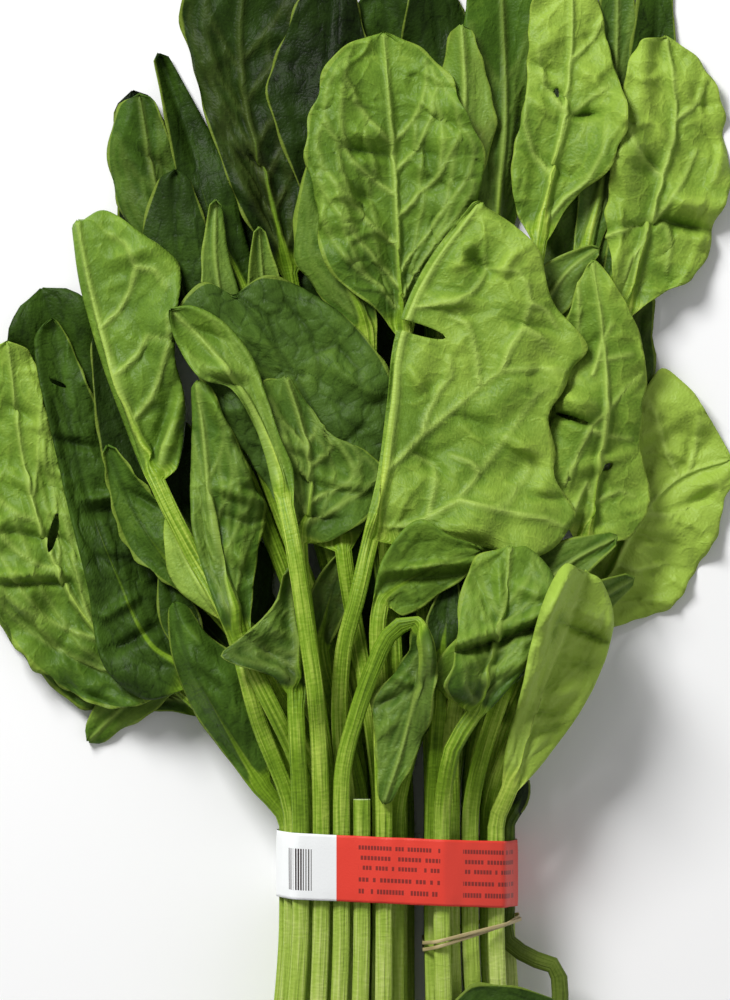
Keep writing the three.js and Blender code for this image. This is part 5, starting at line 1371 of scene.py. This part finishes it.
def leaf_material(name, gloss, settings):
    """Fresh spinach leaf. The eye sees a satin green skin, mottled in spots of a few
    millimetres, a net of veins, pale and raised on the underside with a band of painted shade
    beside the large ones, and sunken on the upper side, where painted shade darkens them and their
    net and a faint painted highlight runs beside them, painted highlight on the ridges of folds and
    creases and painted shade in their grooves, a thin pale line along the margin, and a
    yellow-green stalk with lengthwise ribs and pale cross marks."""
    material, n = new_material(name)
    tree = material.node_tree
    main_line, vein_shade_band, from_margin, _ = numbers(tree, "veins")
    net, folding, crease, _ = numbers(tree, "relief")
    tone, stalk, cut, _ = numbers(tree, "look")
    _, along, _, place = numbers(tree, "place")
    blue, dry, under, _ = numbers(tree, "mood")
    upper = n("plus", n("times", under, -1.0), 1.0)

    # the skin's own mottle, in lumps of 19, 4.5 and 0.8 mm
    cloud = n("noise", place, 1 / 19, 2.0)
    patch = n("noise", place, 1 / 4.5, 2.0, 0.6)
    grain = n("noise", place, 1 / 0.8, 1.0)
    shade = tone
    for lumps, share in ((cloud, 0.42), (patch, 0.20), (grain, 0.13)):
        shade = n("plus", shade, n("times", n("plus", lumps, -0.5), share))
    # painted highlight on the ridges of folds and creases and painted shade in their grooves
    shade = n("plus", shade, n("plus", n("times", folding, 0.05), n("times", crease, 0.04)))

    # a band along the veins, painted shade on the underside and a faint painted highlight on the
    # upper side, then the net of small ones and the veins themselves: pale where they are raised on
    # the underside, and darkened by painted shade where they are sunken on the upper side
    net_line = n("fade", net, 0.0, 0.55, 1.0, 0.0)
    # painted shade beside the veins of the underside, a faint painted highlight beside those of the
    # upper side
    shade = n("plus", shade, n("times", vein_shade_band, n("plus", n("times", under, -0.14), 0.04)))
    # the net's lines: lighter where they are raised, darkened by painted shade where they are sunken
    shade = n("plus", shade, n("times", net_line, n("plus", n("times", under, 0.14), -0.09)))
    green = n("ramp", shade, stops=[(0.0, settings.green_darkest), (0.25, settings.green_dark),
                                    (0.5, settings.green_middle), (0.75, settings.green_light),
                                    (1.0, settings.green_lightest)])
    matt = n("ramp", shade, stops=[(0.0, "#172110"), (0.3, "#3b5026"), (0.6, "#5f7a36"),
                                   (1.0, "#94b04f")])
    green = n("blend", n("times", blue, 0.85), green, matt)
    raised = n("times", n("times", main_line, under), n("fade", tone, 0.1, 0.9, 0.1, 0.85))
    green = n("blend", raised, green, linear(settings.vein_raised))
    # painted shade in the grooves of the sunken veins of the upper side
    sunken = n("times", n("times", main_line, upper), 0.6)
    green = n("blend", sunken, green, linear(settings.sunken_vein_shade))
    withered = n("blend", n("fade", patch, 0.4, 0.6), linear("#6e6a2c"), linear("#2c2413"))
    green = n("blend", n("times", dry, n("fade", cloud, 0.42, 0.6)), green, withered)
    green = n("blend", n("fade", from_margin, 0.3, 0.7, 0.45, 0.0), green, linear("#9db546"))

    # the stalk, paler near its cut end
    streak = n("noise", n("stretch", place, (1.0, 0.03, 1.0)), 1 / 0.7, 2.0)
    mark = n("noise", n("stretch", place, (0.35, 1.0, 1.0)), 1 / 0.8, 1.0)
    tint = n("plus", n("times", streak, 0.8), n("times", mark, 0.2))
    tint = n("plus", tint, n("times", n("plus", tone, -0.5), 0.25))
    tint = n("plus", tint, n("times", n("plus", cloud, -0.5), 0.4))
    lime = n("ramp", tint, stops=[(0.22, settings.stalk_dark), (0.5, settings.stalk_middle),
                                  (0.78, settings.stalk_light)])
    pale = n("ramp", tint, stops=[(0.22, "#86a533"), (0.5, "#acc653"), (0.8, "#d6e28a")])
    lime = n("blend", n("fade", along, 40.0, 95.0, 1.0, 0.0), lime, pale)
    stalk_share = n("times", n("fade", stalk, 0.25, 0.85), n("fade", tone, 0.0, 0.2, 0.3, 1.0))
    skin = n("blend", stalk_share, green, lime)
    skin = n("blend", cut, skin, n("blend", grain, linear("#a9c07a"), linear("#e3edc4")))

    # fine relief: the grain and the veins of the blade, the ribs and marks of the stalk
    height = n("plus", n("times", grain, 0.4), n("times", patch, 0.4))
    height = n("plus", height, n("times", main_line, n("plus", n("times", under, 1.2), -0.5)))
    net_way = n("plus", n("times", under, 2.0), -1.0)
    height = n("plus", height, n("times", n("times", net_line, net_way), 0.2))
    height = n("blend", stalk, height, n("plus", n("times", streak, 1.2), n("times", mark, 0.35)))
    bump = n("bump", height, 0.85, 0.0006)
    rough = n("plus", n("times", stalk, -0.10), settings.roughness - 0.11)
    rough = n("plus", n("times", patch, 0.22), rough)
    body = n("surface", skin, rough, 1.4, bump, gloss)
    # the light that comes through a blade is yellower than what it throws back
    glow = n("glow", n("blend", 1.0, skin, linear("#d8f070"), blend_type="MULTIPLY"), bump)
    return finish_material(material, n("both", LIGHT_THROUGH, body, glow))


def paper_material(settings):
    """Coated label paper, offset printed. The eye sees a smooth, slightly glossy red field, a
    white panel with a block of dark bars, and rows of short dark dashes."""
    material, n = new_material("coated label paper")
    run, across, outside, vector = numbers(material.node_tree, "print")

    def window(value, low, high, soft=0.06):
        """1 between low and high, else 0."""
        return n("times", n("fade", value, low - soft, low + soft),
                 n("fade", value, high - soft, high + soft, 1.0, 0.0))

    def cell_chance(cell_wide, row):
        """A random number for each cell along the band."""
        return n("chance", n("combine", n("floor", n("over", run, cell_wide)), row))

    white = n("fade", run, RED_FROM - 0.08, RED_FROM + 0.08, 1.0, 0.0)
    bar_wide = n("plus", n("times", cell_chance(BAR_PITCH, 3.0), 0.5), 0.2)
    bars = n("above", bar_wide, n("remainder", n("over", run, BAR_PITCH)))
    bars = n("times", bars, n("times", window(run, -34.6, -26.2), window(across, -7.0, 5.2)))
    rows = []
    for row, (middle, high, wide) in enumerate(DASH_ROWS):
        gap = window(n("remainder", n("over", run, wide)), 0.12, 0.86, 0.05)
        dash = n("times", n("above", cell_chance(wide, row + 11.0), 0.2), gap)
        rows.append(n("times", window(across, middle - high, middle + high, 0.1), dash))
    marks = functools.reduce(functools.partial(n, "most"), rows)
    marks = n("times", marks, n("most", window(run, -12.5, 11.5), window(run, 18.5, 40.0)))
    cloud = n("noise", vector, 1 / 9, 2.0)
    red = n("blend", n("times", cloud, 0.25), linear(settings.red), linear("#d83a30"))
    colour = n("blend", white, red, linear(settings.white))
    ink = n("times", n("most", bars, n("times", marks, 0.72)), outside)
    colour = n("blend", ink, colour, linear("#2a1a1c"))
    colour = n("blend", outside, linear("#e9e4dc"), colour)
    bump = n("bump", n("noise", vector, 1 / 0.5, 3.0), 0.35, 0.0002)
    return finish_material(material, n("surface", colour, 0.42, 1.45, bump))


def rubber_material(settings):
    """Natural rubber, cut from a tube. The eye sees a dull beige strand with faint lengthwise
    streaks and darker spots."""
    material, n = new_material("natural rubber")
    vector = n("attribute", attribute_name="run")
    streak = n("noise", n("stretch", vector, (0.1, 1.5, 1.0)), 1.0, 3.0)
    colour = n("ramp", streak, stops=[(0.3, "#97875a"), (0.55, settings.rubber), (0.8, "#d3c79a")])
    bump = n("bump", streak, 0.4, 0.0001)
    return finish_material(material, n("surface", colour, 0.5, 1.52, bump))


def floor_material(settings):
    """Matt white laminate. The eye sees an even white."""
    material, n = new_material("matt white laminate")
    cloud = n("noise", n("object place"), 1 / 0.3, 2.0)
    colour = n("blend", cloud, linear("#f7f7f7"), linear(settings.floor))
    return finish_material(material, n("surface", colour, 0.9))


# ---------- settings ----------
def hex_property(name, default, description):
    """A colour, kept as sRGB hex."""
    return bpy.props.StringProperty(name=name, default=default, maxlen=7, description=description)


def length_property(name, default, description):
    """A length, given here in millimetres and kept in metres."""
    return bpy.props.FloatProperty(
        name=name, default=default * MM, min=0, precision=5, unit="LENGTH", description=description)


class SpinachLeafSettings(bpy.types.PropertyGroup):
    """Thickness, colours and finish of leaves and stalks."""
    thickness: length_property("Blade thickness", 0.42, "Thickness of a blade between its veins")
    vein_height: length_property("Vein height", 1.1, "How far a large vein stands out of the blade")
    green_darkest: hex_property("Darkest green", "#101b06", "sRGB colour of the darkest leaf parts")
    green_dark: hex_property("Dark green", "#293f10", "sRGB colour of dark leaf parts")
    green_middle: hex_property("Middle green", "#47681d", "sRGB colour of middling leaf parts")
    green_light: hex_property("Light green", "#6f912e", "sRGB colour of light leaf parts")
    green_lightest: hex_property("Lightest green", "#a3c14b", "sRGB colour of the lightest leaf parts")
    vein_raised: hex_property("Raised vein", "#b4cf62", "sRGB colour of the veins on the underside")
    # the sunken veins' colour is painted shade in their grooves
    sunken_vein_shade: hex_property("Sunken vein", "#1b2e0b", "sRGB colour of the veins on the upper side")
    stalk_dark: hex_property("Dark stalk", "#47670f", "sRGB colour of the stalks' dark streaks")
    stalk_middle: hex_property("Stalk", "#7fa328", "sRGB colour of the stalks")
    stalk_light: hex_property("Light stalk", "#c4da5c", "sRGB colour of the stalks' light streaks")
    roughness: bpy.props.FloatProperty(
        name="Roughness", default=0.47, min=0.2, max=0.9, subtype="FACTOR",
        description="Roughness of the leaf skin")


class SpinachBandSettings(bpy.types.PropertyGroup):
    """Sizes and colours of the paper band and the rubber band."""
    paper_width: length_property("Paper width", 19.5, "Width of the paper band")
    rubber_width: length_property("Rubber width", 1.1, "Width of the rubber band")
    rubber_thickness: length_property("Rubber thickness", 0.5, "Thickness of the rubber band")
    red: hex_property("Red field", "#e5402f", "sRGB colour of the printed field")
    white: hex_property("White panel", "#f0f2f2", "sRGB colour of the bare panel")
    rubber: hex_property("Rubber", "#b8a878", "sRGB colour of the rubber band")


class SpinachStageSettings(bpy.types.PropertyGroup):
    """Floor, light and camera."""
    floor: hex_property("Floor", "#ffffff", "sRGB colour of the floor")
    key_power: bpy.props.FloatProperty(
        name="Key light", default=32.0, min=0, unit="POWER",
        description="Power of the main soft light")
    fill_power: bpy.props.FloatProperty(
        name="Fill light", default=3.0, min=0, unit="POWER", description="Power of the fill light")
    world: bpy.props.FloatProperty(
        name="Sky", default=0.27, min=0, max=3,
        description="Strength of the even light from all round")
    lens: bpy.props.FloatProperty(
        name="Lens", default=250.0, min=50, unit="CAMERA", description="Focal length of the camera")


SETTINGS = (("spinach_leaf", SpinachLeafSettings), ("spinach_band", SpinachBandSettings),
            ("spinach_stage", SpinachStageSettings))
LEAF_MATERIALS = {
    "leaf_dark": ("dark spinach leaf", 0.14),
    "leaf_green": ("green spinach leaf", 0.25),
    "leaf_light": ("light spinach leaf", 0.27),
}


def place_piece(piece, node):
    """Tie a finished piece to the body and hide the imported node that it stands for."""
    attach(piece, "root")
    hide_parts(node)


def slot_of(node):
    """The record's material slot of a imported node."""
    return next(p["material_slot"] for p in frame["record"]["subparts"] if p["node"] == node)


# ---------- operators ----------
class SPINACH_OT_leaves(bpy.types.Operator):
    """Lay all leaves of the bunch, the lowest row first"""
    bl_idname = "spinach.leaves"
    bl_label = "Leaves"

    def execute(self, context):
        settings = context.scene.spinach_leaf
        pile.fill(-AIR)
        materials = {slot: leaf_material(*finish, settings) for slot, finish in LEAF_MATERIALS.items()}
        for number, leaf in enumerate(LEAVES):
            slot = slot_of(leaf["name"])
            piece = build_leaf(leaf, number, settings, materials[slot])
            place_piece(piece, leaf["name"])
        return {"FINISHED"}


class SPINACH_OT_paper_band(bpy.types.Operator):
    """Wrap the printed paper band round the stalks"""
    bl_idname = "spinach.paper_band"
    bl_label = "Paper band"

    def execute(self, context):
        settings = context.scene.spinach_band
        piece = build_paper(stalk_seats(), settings, paper_material(settings))
        place_piece(piece, "paper_band")
        return {"FINISHED"}


class SPINACH_OT_rubber_band(bpy.types.Operator):
    """Wind the rubber band twice round the stalks of the right half"""
    bl_idname = "spinach.rubber_band"
    bl_label = "Rubber band"

    def execute(self, context):
        settings = context.scene.spinach_band
        seats = [seat for seat in stalk_seats() if seat[0] > RUBBER_FIRST]
        piece = build_rubber(seats, settings, rubber_material(settings))
        place_piece(piece, "rubber_band")
        return {"FINISHED"}


def stalk_seats():
    """X and height of every stalk's middle inside the paper band."""
    return [(leaf["slot"], ROW_LOWEST + ROW_PITCH * leaf["row"]) for leaf in LEAVES if "slot" in leaf]


# The stage, in metres.
STAGE_MIDDLE = (-0.0106, 0.1089, 0.018)         # the point that camera and lamps aim at
VIEW_LONG = 0.296                               # what the longer side of the view takes in
FLOOR_HALF = 4.0
LAMPS = {                                       # each lamp's place and size
    "key": ((-0.75, 1.15, 1.05), 0.6),
    "fill": ((1.1, -0.5, 1.3), 1.4),
}


class SPINACH_OT_stage(bpy.types.Operator):
    """Set up the floor, the lights and the camera that looks straight down"""
    bl_idname = "spinach.stage"
    bl_label = "Stage"

    def execute(self, context):
        settings = context.scene.spinach_stage
        scene = context.scene
        scene.view_settings.view_transform = "Standard"
        mesh = bpy.data.meshes.new("floor")
        signs = ((-1, -1), (1, -1), (1, 1), (-1, 1))
        corners = [(x * FLOOR_HALF, y * FLOOR_HALF, 0) for x, y in signs]
        mesh.from_pydata(corners, [], [(0, 1, 2, 3)])
        mesh.materials.append(floor_material(settings))
        floor = bpy.data.objects.new("floor", mesh)
        scene.collection.objects.link(floor)
        floor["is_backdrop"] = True
        world = bpy.data.worlds.new("even white sky")
        world.use_nodes = True
        background = world.node_tree.nodes["Background"]
        background.inputs["Color"].default_value = (1, 1, 1, 1)
        background.inputs["Strength"].default_value = settings.world
        scene.world = world
        for name, (place, wide) in LAMPS.items():
            power = getattr(settings, name + "_power")
            light = bpy.data.lights.new(name, "AREA")
            light.energy, light.size = power, wide
            lamp = bpy.data.objects.new(name, light)
            scene.collection.objects.link(lamp)
            lamp.location = place
            way = Vector(STAGE_MIDDLE) - Vector(place)
            lamp.rotation_euler = way.to_track_quat("-Z", "Y").to_euler()
        camera = bpy.data.cameras.new("camera")
        camera.lens = settings.lens
        camera.clip_end = 20
        eye = bpy.data.objects.new("camera", camera)
        scene.collection.objects.link(eye)
        eye.location = STAGE_MIDDLE
        eye.location.z += VIEW_LONG * settings.lens / camera.sensor_width
        scene.camera = eye
        return {"FINISHED"}


class SPINACH_PT_panel(bpy.types.Panel):
    """The pieces of the bunch and their settings"""
    bl_idname = "SPINACH_PT_panel"
    bl_label = "Spinach bunch"
    bl_space_type = "VIEW_3D"
    bl_region_type = "UI"
    bl_category = "Spinach"

    def draw(self, context):
        for operator in OPERATORS:
            self.layout.operator(operator.bl_idname)
        for key, group in SETTINGS:
            box = self.layout.box()
            for field in group.__annotations__:
                box.prop(getattr(context.scene, key), field)


OPERATORS = (SPINACH_OT_leaves, SPINACH_OT_paper_band, SPINACH_OT_rubber_band, SPINACH_OT_stage)
CLASSES = tuple(group for _, group in SETTINGS) + OPERATORS + (SPINACH_PT_panel,)


def register():
    """Add the settings, the operators and the panel."""
    for cls in CLASSES:
        bpy.utils.register_class(cls)
    for key, group in SETTINGS:
        setattr(bpy.types.Scene, key, bpy.props.PointerProperty(type=group))


def unregister():
    """Take them away again."""
    for key, _ in SETTINGS:
        delattr(bpy.types.Scene, key)
    for cls in reversed(CLASSES):
        bpy.utils.unregister_class(cls)


def main():
    """Build the bunch and the stage."""
    register()
    bpy.ops.spinach.leaves()
    bpy.ops.spinach.paper_band()
    bpy.ops.spinach.rubber_band()
    bpy.ops.spinach.stage()
    boxes = {"cad": CAD_BOUNDS, "visual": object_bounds()}
    boxes = {key: [list(corner) for corner in box] for key, box in boxes.items()}


if __name__ == "__main__":
    main()
